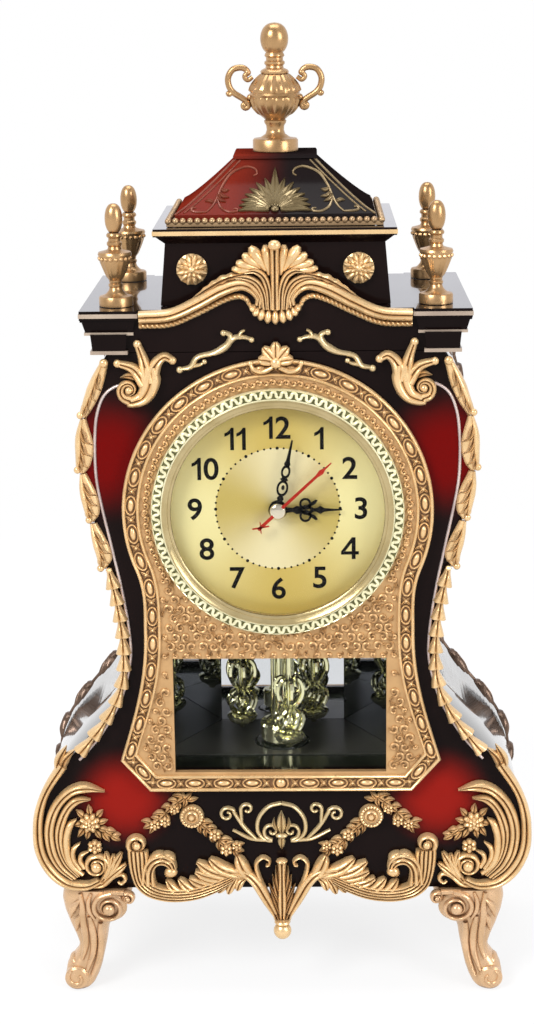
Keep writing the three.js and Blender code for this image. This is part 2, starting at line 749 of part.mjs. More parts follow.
// Leaves and a long scroll laid along the rear edge of the flank
function rearMount(side) {
  const top = NECK - CHAIN_TOP_DROP;
  const bottom = CASE_FLOOR + REAR_MOUNT_RISE;
  const rings = [];
  for (let leaf = 0; leaf < REAR_LEAVES; leaf += 1) {
    for (const [share, width] of [[0.04, 0.62], [0.5, 0.85], [0.96, 1]]) {
      const z = THREE.MathUtils.lerp(top, bottom, (leaf + share) / REAR_LEAVES);
      const { run, norm } = caseSlope(z);
      const inner = REAR - (0.5 + 0.5 * width) * CHAIN_WIDTH;
      const at = (lift, y) => [side * (caseHalf(z) + lift / norm), y, z - (lift * run) / norm];
      const crest = SEAT + REAR_MOUNT_RELIEF * (0.5 + 0.5 * width);
      rings.push([at(2 * SEAT, REAR - LAP), at(crest, (REAR + inner) / 2), at(2 * SEAT, inner)]);
    }
  }
  return loft(rings);
}

// Acanthus scroll under the capital
function cornerScroll(side) {
  const strands = [
    {
      route: [[46.5, -2.6], [50.5, -1.6], [55, -8], [57.5, -15], [62.5, -20], [67, -17.6], [66.6, -13.4]],
      widths: [2.6, 3.6, 5.6, 6.2, 4.4, 3, 2],
      steps: 9,
    },
    { route: [[56.4, -14], [58.6, -5], [61.8, 5.4]], widths: [5.4, 4, 2], steps: 6 },
    { route: [[57, -12], [63, -8.4], [69, -4.2]], widths: [4.4, 3.4, 1.8], steps: 6 },
  ];
  return casting(strands, (route) => mirrored(side, raised(route, NECK)));
}

// Fine tendril from the corner scroll up beside the crest
function sprig(side) {
  const strands = [
    {
      route: [[42, -7.5], [34, -3.4], [24.5, 0], [19.4, 5], [21.2, 8.6]],
      widths: [1.8, 2.6, 2.4, 3.4, 1.6],
      steps: 6,
    },
    { route: [[21.5, 1.8], [16.5, 5.6], [11, 7]], widths: [2.6, 2.8, 1.4], steps: 3 },
    { route: [[36, -4.6], [40.6, -3.6], [43.2, -1.6]], widths: [2, 2, 1.2], steps: 3 },
  ];
  return casting(strands, (route) => mirrored(side, raised(route, NECK)), FINE_RELIEF);
}

// Great C-scroll round the bulge, ending in a volute, with strands inside it: [inset, rise] routes
function baseScroll(side) {
  const strands = [
    {
      route: [
        [-1, 67], [1.5, 54], [2, 38], [2, 25], [2.4, 13],
        [5, 5.6], [14, 4.6], [25, 9], [26, 15.4], [21.6, 16.4],
      ],
      widths: [3, 6, 8, 8.4, 8, 7, 6, 4.6, 3.4, 2.2],
      steps: 16,
    },
    {
      route: [[25.5, 51.5], [14, 54], [8.6, 47], [8, 34], [9, 20], [12, 9.5]],
      widths: [2.4, 4.6, 5.6, 5.6, 5, 4],
      steps: 8,
    },
    {
      route: [[21, 42], [15.8, 36], [14, 26], [15, 14], [18, 8]],
      widths: [2, 3.4, 4.4, 4.2, 3],
      steps: 6,
    },
    { route: [[24, 30], [20, 25], [18.6, 17], [19, 9]], widths: [1.8, 3, 3.6, 3], steps: 4 },
  ];
  return casting(strands, (route) => route.map(([inset, rise]) => {
    const z = CASE_FLOOR + rise;
    return [side * (caseHalf(z) - inset), z];
  }));
}

// Rosette with two hanging garlands
function swag(side) {
  const strands = [
    { route: [[41, 40], [46, 46.5], [54.5, 42], [63.4, 35.4]], widths: [3.4, 4.6, 5.4, 2.6], steps: 5 },
    { route: [[42, 37], [33.5, 31.4], [26.5, 25.4], [18.6, 20.6]], widths: [4, 4.4, 5.4, 2.2], steps: 5 },
  ];
  const rim = SWAG_ROSETTE_RADIUS;
  const crest = PANEL - MOUNT_RELIEF + 0.5;
  const profile = [[0, PANEL], [rim, PANEL], [rim, 0.5 * (PANEL + crest)], [0.6 * rim, crest], [0, crest]];
  const flower = turnedFacing(profile, 12, side * SWAG_X, CASE_FLOOR + SWAG_RISE);
  return join(flower, casting(strands, (route) => mirrored(side, raised(route, CASE_FLOOR)), FINE_RELIEF));
}

// Looped scroll with a small lily between the swags
function centreScroll() {
  const strands = [
    {
      route: [[-0.6, 45.2], [7, 43.4], [11.6, 37], [9, 30.4], [3.6, 29.6]],
      widths: [2.4, 2.6, 2.6, 2.4, 1.6],
      steps: 5,
    },
    {
      route: [[9.6, 32], [17, 31.6], [23.4, 36], [28.6, 40.6], [28, 45], [24.2, 44.6]],
      widths: [2.2, 2.6, 3, 2.6, 2, 1.4],
      steps: 7,
    },
    { route: [[18, 31.8], [21.4, 39.4], [18.4, 44.6], [14.8, 42.6]], widths: [2.2, 2.4, 2, 1.4], steps: 4 },
  ];
  const halves = [-1, 1].map((side) => {
    return casting(strands, (route) => mirrored(side, raised(route, CASE_FLOOR)), FINE_RELIEF);
  });
  const lily = scroll(raised([[0, 46], [0, 37], [0, 24]], CASE_FLOOR), [2.6, 6.4, 2], MOUNT_RELIEF, 6);
  return join(lily, ...halves);
}

// Acanthus along the lower edge, with a hanging leaf and a ball in the middle
function apronMount() {
  const strands = [
    {
      route: [[65.6, 27.4], [70, 24], [71.2, 12.6], [65.6, 2.4], [56, -2.4], [46.4, -0.6], [39.6, 8]],
      widths: [4, 6, 7.4, 8.4, 7.4, 6, 2],
      steps: 9,
    },
    { route: [[65, 4], [60, 12], [53.4, 13.6], [50.4, 8.6]], widths: [6, 5, 3.4, 2], steps: 5 },
    {
      route: [[50, -2.4], [38, -4], [26, -2.4], [13, 1.4], [-0.6, 6]],
      widths: [6, 6, 6.4, 6, 6],
      steps: 6,
    },
    { route: [[27, -1.6], [19, 4.4], [14.6, 12.4]], widths: [6, 5, 1.8], steps: 4 },
  ];
  const halves = [-1, 1].map((side) => {
    return casting(strands, (route) => mirrored(side, raised(route, CASE_FLOOR)));
  });
  const tip = [0, -APRON_LEAF_DROP];
  const leaf = scroll(raised([[0, 17], [0, 6], [0, -4], tip], CASE_FLOOR), [4, 11, 14, 5], 6, 6);
  const ball = new THREE.SphereGeometry(DROP_RADIUS, 8, 6);
  ball.translate(0, PANEL - DROP_RADIUS, CASE_FLOOR - APRON_LEAF_DROP - DROP_RADIUS + LAP);
  return join(leaf, solid(ball), ...halves);
}

function rosette(side) {
  const front = -ATTIC_HALF_DEPTH - SEAT;
  const x = (side * ROSETTE_SPACING) / 2;
  const z = DECK_TOP + 0.48 * ATTIC_HEIGHT;
  const rim = ROSETTE_RADIUS;
  const profile = [
    [0, front],
    [rim, front],
    [rim, front - 1.2],
    [rim - 1.6, front - 2.4],
    [2.6, front - 1.8],
    [1.8, front - 3],
    [0, front - 3.2],
  ];
  return turnedFacing(profile, 12, x, z);
}

// Outline of the gilt frame: a circle round the dial that runs down to the window's foot
function frameOutline(inset) {
  const radius = BEZEL_RADIUS + FRAME_MARGIN - inset;
  const waist = WAIST_HALF - FRAME_WAIST_MARGIN - inset;
  const corner = FRAME_CORNER_HALF - inset;
  const cornerZ = FRAME_BOTTOM + FRAME_CORNER_RISE + 0.42 * inset;
  const base = FRAME_BASE_HALF - 0.42 * inset;
  const waistZ = THREE.MathUtils.lerp(FRAME_BOTTOM, DIAL_Z, 0.57);
  const spring = THREE.MathUtils.degToRad(22);
  const joinX = radius * Math.cos(spring);
  const joinZ = DIAL_Z - radius * Math.sin(spring);
  const lean = [12 * Math.sin(spring), 12 * Math.cos(spring)];
  const shape = new THREE.Shape();
  shape.moveTo(-base, FRAME_BOTTOM + inset);
  shape.lineTo(base, FRAME_BOTTOM + inset);
  shape.lineTo(corner, cornerZ);
  shape.bezierCurveTo(corner - 5.4, cornerZ + 18, waist, waistZ - 24, waist, waistZ);
  shape.bezierCurveTo(waist, waistZ + 12, joinX - lean[0], joinZ - lean[1], joinX, joinZ);
  shape.absarc(0, DIAL_Z, radius, -spring, Math.PI + spring, false);
  shape.bezierCurveTo(lean[0] - joinX, joinZ - lean[1], -waist, waistZ + 12, -waist, waistZ);
  shape.bezierCurveTo(-waist, waistZ - 24, 5.4 - corner, cornerZ + 18, -corner, cornerZ);
  shape.closePath();
  return shape;
}

function dialFrame() {
  const face = PANEL - FRAME_THICKNESS;
  const plate = slab(frameOutline(0), face, PANEL, 6);
  const border = frameOutline(0);
  border.holes.push(frameOutline(FRAME_BORDER));
  const rim = slab(border, face - FRAME_BORDER_PROUD, PANEL, 6);
  const crownZ = DIAL_Z + BEZEL_RADIUS + FRAME_MARGIN - LAP;
  const petals = fan(0, crownZ, FRAME_CROWN_RADIUS, FRAME_CROWN_RADIUS + 1, 7, 1.9);
  const front = face - 2 * FRAME_BORDER_PROUD;
  const crown = slab(petals, front, PANEL, 12, 1);
  const dialHole = disc(0, DIAL_Z, BEZEL_SPIGOT + SEAT, front - LAP, PANEL + LAP, 28);
  const windowHole = box(
    [-WINDOW_HALF, front - LAP, WINDOW_BOTTOM],
    [WINDOW_HALF, PANEL + LAP, WINDOW_TOP],
  );
  return cut(join(plate, rim, crown), dialHole, windowHole);
}

const BEZEL_BACK = PANEL - FRAME_THICKNESS - SEAT;
const BEZEL_FRONT = BEZEL_BACK - BEZEL_PROUD;
const LENS_BACK = BEZEL_BACK - 0.4;
const LENS_FRONT = LENS_BACK - LENS_THICKNESS;
const DIAL_FRONT = PANEL_BACK + SEAT;
const DIAL_BACK = DIAL_FRONT + DIAL_THICKNESS;

// Ring over the frame, with a spigot through the panel and a rebate for the lens
function bezel() {
  const lip = BEZEL_FRONT + 1.4;
  const seat = LENS_RADIUS + SEAT;
  const profile = [
    [BEZEL_SIGHT, lip],
    [BEZEL_SIGHT + 3, BEZEL_FRONT],
    [BEZEL_RADIUS - 3, BEZEL_FRONT],
    [BEZEL_RADIUS, BEZEL_BACK - 1],
    [BEZEL_RADIUS, BEZEL_BACK],
    [BEZEL_SPIGOT, BEZEL_BACK],
    [BEZEL_SPIGOT, PANEL_BACK],
    [seat, PANEL_BACK],
    [seat, LENS_FRONT - SEAT],
    [BEZEL_SIGHT, LENS_FRONT - SEAT],
    [BEZEL_SIGHT, lip],
  ];
  return turnedFacing(profile, 28, 0, DIAL_Z);
}

const lens = () => turnedFacing([
  [0, LENS_BACK], [LENS_RADIUS, LENS_BACK], [LENS_RADIUS, LENS_FRONT], [0, LENS_FRONT],
], 28, 0, DIAL_Z);

const dial = () => turnedFacing([
  [BUSH_RADIUS + SEAT, DIAL_FRONT], [DIAL_RADIUS, DIAL_FRONT], [DIAL_RADIUS, DIAL_BACK],
  [BUSH_RADIUS + SEAT, DIAL_BACK], [BUSH_RADIUS + SEAT, DIAL_FRONT],
], 28, 0, DIAL_Z);

// Depths of the movement's layers, from its front plate to its cover
const MOVEMENT_FRONT = DIAL_BACK + SEAT;
const GEAR_SPACE = MOVEMENT_FRONT + MOVEMENT_PLATE;
const MOVEMENT_REAR = MOVEMENT_FRONT + MOVEMENT_DEPTH;
const COVER_FRONT = MOVEMENT_REAR + SEAT;
const layer = (number) => GEAR_SPACE + 0.4 + number * LAYER_PITCH;

// Axes of the wheels, from the dial's centre
const THIRD_AXIS = [0, (TRAIN_MODULE * (SECOND_PINION + THIRD_WHEEL)) / 2];
const CENTRE_MODULE = (TRAIN_MODULE * (SECOND_PINION + THIRD_WHEEL)) / (THIRD_PINION + CENTRE_WHEEL);
const MOTION_DISTANCE = (MOTION_MODULE * (CANNON_PINION + MOTION_WHEEL)) / 2;
const MOTION_AXIS = [-MOTION_DISTANCE, 0];
const HOUR_MODULE = (2 * MOTION_DISTANCE) / (MOTION_PINION + HOUR_WHEEL);
const SETTING_TURN = THREE.MathUtils.degToRad(135);
const SETTING_DISTANCE = (MOTION_MODULE * (MOTION_WHEEL + SETTING_PINION)) / 2;
const SETTING_AXIS = [
  MOTION_AXIS[0] + SETTING_DISTANCE * Math.cos(SETTING_TURN),
  MOTION_AXIS[1] + SETTING_DISTANCE * Math.sin(SETTING_TURN),
];

// Radii of the nested pipes that carry the hands
const MINUTE_BORE = ARBOR_RADIUS + ARBOR_CLEARANCE;
const MINUTE_PIPE = MINUTE_BORE + PIPE_WALL;
const HOUR_BORE = MINUTE_PIPE + ARBOR_CLEARANCE;
const HOUR_PIPE = HOUR_BORE + PIPE_WALL;
const BUSH_BORE = HOUR_PIPE + ARBOR_CLEARANCE;
const HOUR_HAND_Y = MOVEMENT_FRONT - BUSH_LENGTH - 0.6;
const MINUTE_HAND_Y = HOUR_HAND_Y - HAND_THICKNESS - HAND_SPACING;
const SECOND_HAND_Y = MINUTE_HAND_Y - HAND_THICKNESS - HAND_SPACING;

// Spur gear with one tooth pointing in the direction given, or one gap there
function gear([x, z], teeth, module, front, thickness, direction, gapThere) {
  const pitch = (2 * Math.PI) / teeth;
  const radius = (module * teeth) / 2;
  const start = direction + (gapThere ? pitch / 2 : 0);
  const pinion = [[-0.5, -1.4], [-0.08, 0.6], [0.08, 0.6]];
  const flank = teeth > 12 ? [[-0.5, -1.4], [0, 0.6]] : pinion;
  const points = [];
  for (let i = 0; i < teeth; i += 1) {
    const middle = start + i * pitch;
    for (const [turn, reach] of flank) {
      const angle = middle + turn * pitch;
      const r = radius + reach * module;
      points.push(new THREE.Vector2(x + r * Math.cos(angle), DIAL_Z + z + r * Math.sin(angle)));
    }
  }
  return slab(new THREE.Shape(points), front, front + thickness);
}

const rod = ([x, z], radius, front, back, sides = 8) => disc(x, DIAL_Z + z, radius, front, back, sides);
const CENTRE = [0, 0];
const UP = Math.PI / 2;

// A hand drawn pointing to twelve, turned clockwise to its angle
function hand(outline, angle, y) {
  const geometry = slabGeometry(outline, y - HAND_THICKNESS, y, 3, 0);
  geometry.rotateY(angle);
  geometry.translate(0, 0, DIAL_Z);
  return solid(geometry);
}

// A narrow blade with a round hub, a round bulb along it and a short tail
function handOutline(length, hub, bulb, bulbAt, tail) {
  const half = HAND_HALF_WIDTH;
  const shoulder = length - HAND_POINT;
  const shape = new THREE.Shape();
  shape.moveTo(-half, -tail);
  shape.lineTo(half, -tail);
  shape.lineTo(half, -hub);
  shape.absarc(0, 0, hub, half / hub - UP, UP - half / hub, false);
  shape.lineTo(half, bulbAt - bulb);
  shape.absarc(0, bulbAt, bulb, half / bulb - UP, UP - half / bulb, false);
  shape.lineTo(half, shoulder);
  shape.lineTo(0.3 * half, length);
  shape.lineTo(-0.3 * half, length);
  shape.lineTo(-half, shoulder);
  shape.absarc(0, bulbAt, bulb, UP + half / bulb, 3 * UP - half / bulb, false);
  shape.lineTo(-half, hub);
  shape.absarc(0, 0, hub, UP + half / hub, 3 * UP - half / hub, false);
  shape.closePath();
  return shape;
}

function hourHand() {
  const wheel = layer(0);
  const back = wheel + WHEEL_THICKNESS;
  const outline = handOutline(HOUR_HAND_LENGTH, BUSH_RADIUS, 3, 15.5, BUSH_RADIUS + 0.4);
  const blade = hand(outline, HOUR_HAND_ANGLE, HOUR_HAND_Y);
  const teeth = gear(CENTRE, HOUR_WHEEL, HOUR_MODULE, wheel, WHEEL_THICKNESS, Math.PI, true);
  const front = HOUR_HAND_Y - HAND_THICKNESS;
  const pipe = rod(CENTRE, HOUR_PIPE, front, back, 12);
  const bore = rod(CENTRE, HOUR_BORE, front - LAP, back + LAP, 12);
  return cut(join(blade, teeth, pipe), bore);
}

function minuteHand() {
  const boss = layer(2) + WHEEL_THICKNESS + PINION_EXTRA;
  const outline = handOutline(MINUTE_HAND_LENGTH, HOUR_PIPE + 0.6, 2.6, 17, HOUR_PIPE + 1);
  const blade = hand(outline, MINUTE_HAND_ANGLE, MINUTE_HAND_Y);
  const width = WHEEL_THICKNESS + PINION_EXTRA;
  const teeth = gear(CENTRE, CANNON_PINION, MOTION_MODULE, layer(1), width, Math.PI, false);
  const front = MINUTE_HAND_Y - HAND_THICKNESS;
  const pipe = rod(CENTRE, MINUTE_PIPE, front, boss, 12);
  const bore = rod(CENTRE, MINUTE_BORE, front - LAP, boss + LAP, 12);
  return cut(join(blade, teeth, pipe), bore);
}

// Second hand with a crossed tail, its cap, arbor and pinion
function secondHand() {
  const half = 0.45;
  const point = 0.15;
  const crossHalf = 2.4;
  const crossLow = 3.4 - SECOND_HAND_TAIL;
  const crossHigh = 4.6 - SECOND_HAND_TAIL;
  const shoulder = SECOND_HAND_LENGTH - 6;
  const right = [
    [half, -SECOND_HAND_TAIL],
    [half, crossLow],
    [crossHalf, crossLow],
    [crossHalf, crossHigh],
    [half, crossHigh],
    [half, shoulder],
    [point, SECOND_HAND_LENGTH],
  ].map(([x, z]) => new THREE.Vector2(x, z));
  const left = right.map(({ x, y }) => new THREE.Vector2(-x, y)).reverse();
  const blade = hand(new THREE.Shape([...right, ...left]), SECOND_HAND_ANGLE, SECOND_HAND_Y);
  const width = WHEEL_THICKNESS + PINION_EXTRA;
  const teeth = gear(CENTRE, SECOND_PINION, TRAIN_MODULE, layer(3), width, UP, false);
  const front = SECOND_HAND_Y - HAND_THICKNESS;
  const arbor = rod(CENTRE, ARBOR_RADIUS, front, MOVEMENT_REAR);
  const capBack = SECOND_HAND_Y - 0.2;
  const profile = [
    [0, capBack],
    [CAP_RADIUS, capBack],
    [CAP_RADIUS, front],
    [CAP_RADIUS - 1.4, front - 0.4],
    [0, front - 0.5],
  ];
  return join(blade, turnedFacing(profile, 16, 0, DIAL_Z), arbor, teeth);
}

// Third wheel: its wheel meets the second pinion, its pinion meets the centre wheel
function thirdWheel() {
  const pinionFront = layer(2) - 0.1;
  const pinionWidth = layer(3) - pinionFront + 0.1;
  return join(
    gear(THIRD_AXIS, THIRD_WHEEL, TRAIN_MODULE, layer(3), WHEEL_THICKNESS, -UP, true),
    gear(THIRD_AXIS, THIRD_PINION, CENTRE_MODULE, pinionFront, pinionWidth, -UP, false),
    rod(THIRD_AXIS, ARBOR_RADIUS, GEAR_SPACE + SEAT, MOVEMENT_REAR),
  );
}

// Centre wheel: a ring that grips the minute pipe by friction
function centreWheel() {
  const front = layer(2);
  const back = front + WHEEL_THICKNESS;
  const wheel = gear(CENTRE, CENTRE_WHEEL, CENTRE_MODULE, front, WHEEL_THICKNESS, UP, true);
  return cut(wheel, rod(CENTRE, MINUTE_PIPE + SEAT, front - LAP, back + LAP, 12));
}

// Motion wheel on its stud: driven by the minute pipe, drives the hour wheel
function motionWheel() {
  const front = layer(0);
  const pinionWidth = layer(1) - front + 0.1;
  const wheel = gear(MOTION_AXIS, MOTION_WHEEL, MOTION_MODULE, layer(1), WHEEL_THICKNESS, 0, true);
  const pinion = gear(MOTION_AXIS, MOTION_PINION, HOUR_MODULE, front, pinionWidth, 0, false);
  const bore = rod(MOTION_AXIS, STUD_RADIUS + SEAT, front - LAP, layer(1) + WHEEL_THICKNESS + LAP);
  return cut(join(wheel, pinion), bore);
}

// Knob at the movement's back that turns the hands through the motion wheel
function settingKnob() {
  const inward = SETTING_TURN + Math.PI;
  const front = COVER_FRONT + MOVEMENT_PLATE + SEAT;
  return join(
    gear(SETTING_AXIS, SETTING_PINION, MOTION_MODULE, layer(1), WHEEL_THICKNESS, inward, false),
    rod(SETTING_AXIS, SETTING_ARBOR_RADIUS, GEAR_SPACE + SEAT, front + LAP),
    rod(SETTING_AXIS, KNOB_RADIUS, front, front + KNOB_LENGTH, 14),
  );
}

const CELL_BAY = 2 * (CELL_RADIUS + CELL_CLEARANCE);
const BAY_BOTTOM = -MOVEMENT_HALF + MOVEMENT_WALL;
const BAY_TOP = BAY_BOTTOM + CELL_BAY;

// Square housing: gear space above, cell bay below, threaded bush through the dial
function movementCase() {
  const inside = MOVEMENT_HALF - MOVEMENT_WALL;
  const outer = box(
    [-MOVEMENT_HALF, MOVEMENT_FRONT, DIAL_Z - MOVEMENT_HALF],
    [MOVEMENT_HALF, MOVEMENT_REAR, DIAL_Z + MOVEMENT_HALF],
  );
  const gears = box(
    [-inside, GEAR_SPACE, DIAL_Z + BAY_TOP + MOVEMENT_WALL],
    [inside, MOVEMENT_REAR + LAP, DIAL_Z + inside],
  );
  const bay = box(
    [-CELL_LENGTH / 2 - CELL_CLEARANCE, MOVEMENT_REAR - CELL_BAY + CELL_CLEARANCE, DIAL_Z + BAY_BOTTOM],
    [CELL_LENGTH / 2 + CELL_CLEARANCE, MOVEMENT_REAR + LAP, DIAL_Z + BAY_TOP],
  );
  const bushFront = MOVEMENT_FRONT - BUSH_LENGTH;
  const bush = rod(CENTRE, BUSH_RADIUS, bushFront, MOVEMENT_FRONT + LAP, 20);
  const studEnd = layer(1) + WHEEL_THICKNESS + PINION_EXTRA;
  const stud = rod(MOTION_AXIS, STUD_RADIUS, GEAR_SPACE - LAP, studEnd);
  const bore = rod(CENTRE, BUSH_BORE, bushFront - LAP, GEAR_SPACE + LAP, 20);
  return cut(join(cut(outer, gears, bay), bush, stud), bore);
}

function movementCover() {
  const back = COVER_FRONT + MOVEMENT_PLATE;
  const plate = box(
    [-MOVEMENT_HALF, COVER_FRONT, DIAL_Z + BAY_TOP],
    [MOVEMENT_HALF, back, DIAL_Z + MOVEMENT_HALF],
  );
  return cut(plate, rod(SETTING_AXIS, SETTING_ARBOR_RADIUS + SEAT, COVER_FRONT - LAP, back + LAP));
}

// Cylindrical cell lying along X, with its terminal nub
function cell(y, z) {
  const half = CELL_LENGTH / 2;
  const shoulder = half - NUB_LENGTH;
  const profile = [
    [0, -half],
    [CELL_RADIUS, -half],
    [CELL_RADIUS, shoulder],
    [NUB_RADIUS, shoulder],
    [NUB_RADIUS, half],
    [0, half],
  ];
  const geometry = new THREE.LatheGeometry(profile.map(([r, x]) => new THREE.Vector2(r, x)), 10);
  geometry.rotateZ(-Math.PI / 2);
  geometry.translate(0, y, z);
  return solid(geometry);
}

const FLOOR_BOTTOM = FLOOR_TOP - FLOOR_THICKNESS;
const COLUMN_FOOT = FLOOR_TOP + TURNTABLE_HEIGHT + SEAT;

// Chamber floor with a lip screwed to the panel and a turntable boss
function chamberFloor() {
  const front = PANEL_BACK + SEAT;
  const plan = new THREE.Shape([
    [-MIRROR_FRONT_HALF, front],
    [MIRROR_FRONT_HALF, front],
    [MIRROR_FRONT_HALF, MIRROR_FRONT_Y],
    [MIRROR_BACK_HALF, MIRROR_BACK_Y],
    [-MIRROR_BACK_HALF, MIRROR_BACK_Y],
    [-MIRROR_FRONT_HALF, MIRROR_FRONT_Y],
  ].map(([x, y]) => new THREE.Vector2(x, y)));
  const plate = new THREE.ExtrudeGeometry(plan, { depth: FLOOR_THICKNESS, bevelEnabled: false });
  plate.translate(0, 0, FLOOR_BOTTOM);
  const lip = box(
    [-WINDOW_HALF, front, FLOOR_BOTTOM - FLOOR_LIP],
    [WINDOW_HALF, front + FLOOR_LIP_THICKNESS, FLOOR_BOTTOM + LAP],
  );
  const rim = TURNTABLE_RADIUS;
  const height = TURNTABLE_HEIGHT + LAP;
  const plinth = [[0, 0], [rim, 0], [rim - 0.6, height], [0, height]];
  const turntable = turned(plinth, 24, 0, PENDULUM_Y, FLOOR_TOP - LAP);
  const bore = MOTOR_SHAFT_RADIUS + SEAT;
  const depth = FLOOR_THICKNESS + TURNTABLE_HEIGHT + 2 * LAP;
  const hole = turned([[0, 0], [bore, 0], [bore, depth], [0, depth]], 16, 0, PENDULUM_Y, FLOOR_BOTTOM - LAP);
  return cut(join(solid(plate), lip, turntable), hole);
}

// Three mirror panes as one folded sheet standing on the chamber floor
function mirrorScreen() {
  const face = [
    [-MIRROR_FRONT_HALF, MIRROR_FRONT_Y],
    [-MIRROR_BACK_HALF, MIRROR_BACK_Y],
    [MIRROR_BACK_HALF, MIRROR_BACK_Y],
    [MIRROR_FRONT_HALF, MIRROR_FRONT_Y],
  ];
  const inner = face.map(([x, y]) => [x - Math.sign(x) * MIRROR_THICKNESS, y - MIRROR_THICKNESS]);
  const sheet = [...face, ...inner.reverse()].map(([x, y]) => new THREE.Vector2(x, y));
  const options = { depth: MIRROR_HEIGHT, bevelEnabled: false };
  const geometry = new THREE.ExtrudeGeometry(new THREE.Shape(sheet), options);
  geometry.translate(0, 0, FLOOR_TOP + SEAT);
  return solid(geometry);
}

// Column, arms and hanging ornaments that turn together on the motor's shaft
function pendulum() {
  const top = COLUMN_FOOT + PENDULUM_HEIGHT;
  const shaftEnd = FLOOR_BOTTOM - SEAT - MOTOR_SHAFT_LENGTH;
  const column = turned([
    [0, shaftEnd],
    [MOTOR_SHAFT_RADIUS, shaftEnd],
    [MOTOR_SHAFT_RADIUS, COLUMN_FOOT],
    [COLUMN_CUP_RADIUS - 1.4, COLUMN_FOOT],
    [COLUMN_CUP_RADIUS, COLUMN_FOOT + 9],
    [COLUMN_CUP_RADIUS - 2, COLUMN_FOOT + 10.6],
    [COLUMN_RADIUS, COLUMN_FOOT + 13],
    [COLUMN_RADIUS, top - 8],
    [COLUMN_HEAD_RADIUS, top - 6],
    [COLUMN_HEAD_RADIUS, top - 1],
    [COLUMN_HEAD_RADIUS - 2, top],
    [0, top],
  ], 12, 0, PENDULUM_Y, 0);
  const low = FLOOR_TOP + PENDANT_CLEARANCE;
  const hanging = [
    [0, low],
    [2.2, low + 0.6],
    [PENDANT_RADIUS - 2, low + 3],
    [PENDANT_RADIUS, low + 8],
    [2.6, low + 11.5],
    [PENDANT_RADIUS, low + 21],
    [PENDANT_RADIUS - 3, low + 30],
    [1.5, low + 36],
    [1.5, top - ARM_SIZE],
    [0, top - ARM_SIZE],
  ];
  const parts = [column];
  for (let i = 0; i < PENDANTS; i += 1) {
    const angle = PENDULUM_REST - UP + (2 * Math.PI * i) / PENDANTS;
    const bar = new THREE.BoxGeometry(PENDULUM_REACH, ARM_SIZE, ARM_SIZE);
    bar.translate(PENDULUM_REACH / 2, 0, top - ARM_SIZE - 0.5);
    bar.rotateZ(angle);
    bar.translate(0, PENDULUM_Y, 0);
    const x = PENDULUM_REACH * Math.cos(angle);
    const y = PENDULUM_Y + PENDULUM_REACH * Math.sin(angle);
    parts.push(solid(bar), turned(hanging, 6, x, y, 0));
  }
  return join(...parts);
}

// Motor under the chamber floor, bored for the pendulum's shaft
function pendulumMotor() {
  const top = FLOOR_BOTTOM - SEAT;
  const chamfer = 2;
  const body = stack([
    [MOTOR_HALF - chamfer, MOTOR_HALF - chamfer, top - MOTOR_HEIGHT],
    [MOTOR_HALF, MOTOR_HALF, top - MOTOR_HEIGHT + chamfer],
    [MOTOR_HALF, MOTOR_HALF, top],
  ], 0, PENDULUM_Y);
  const bore = MOTOR_SHAFT_RADIUS + SEAT;
  const depth = MOTOR_SHAFT_LENGTH + SEAT;
  return cut(body, turned([[0, -depth], [bore, -depth], [bore, LAP], [0, LAP]], 16, 0, PENDULUM_Y, top));
}

function windowGlass() {
  const front = PANEL_BACK + SEAT;
  return box(
    [-WINDOW_HALF - GLASS_LAP, front, FLOOR_TOP + SEAT],
    [WINDOW_HALF + GLASS_LAP, front + GLASS_THICKNESS, WINDOW_TOP + GLASS_LAP],
  );
}

const COVER_INSIDE = REAR - COVER_THICKNESS;
const DOOR_BOTTOM = CASE_FLOOR + DOOR_RISE;
const DOOR_TOP = DOOR_BOTTOM + DOOR_HEIGHT;
const DOOR_FRONT = REAR + SEAT;
const HINGE_X = -DOOR_HALF - DOOR_LAP - HINGE_RADIUS;
const HINGE_Y = REAR + SEAT + HINGE_RADIUS;
const LUG_HEIGHT = HINGE_PIN_LENGTH + 2;
const DOOR_LOW = DOOR_BOTTOM - DOOR_LAP;
const DOOR_HIGH = DOOR_TOP + DOOR_LAP;

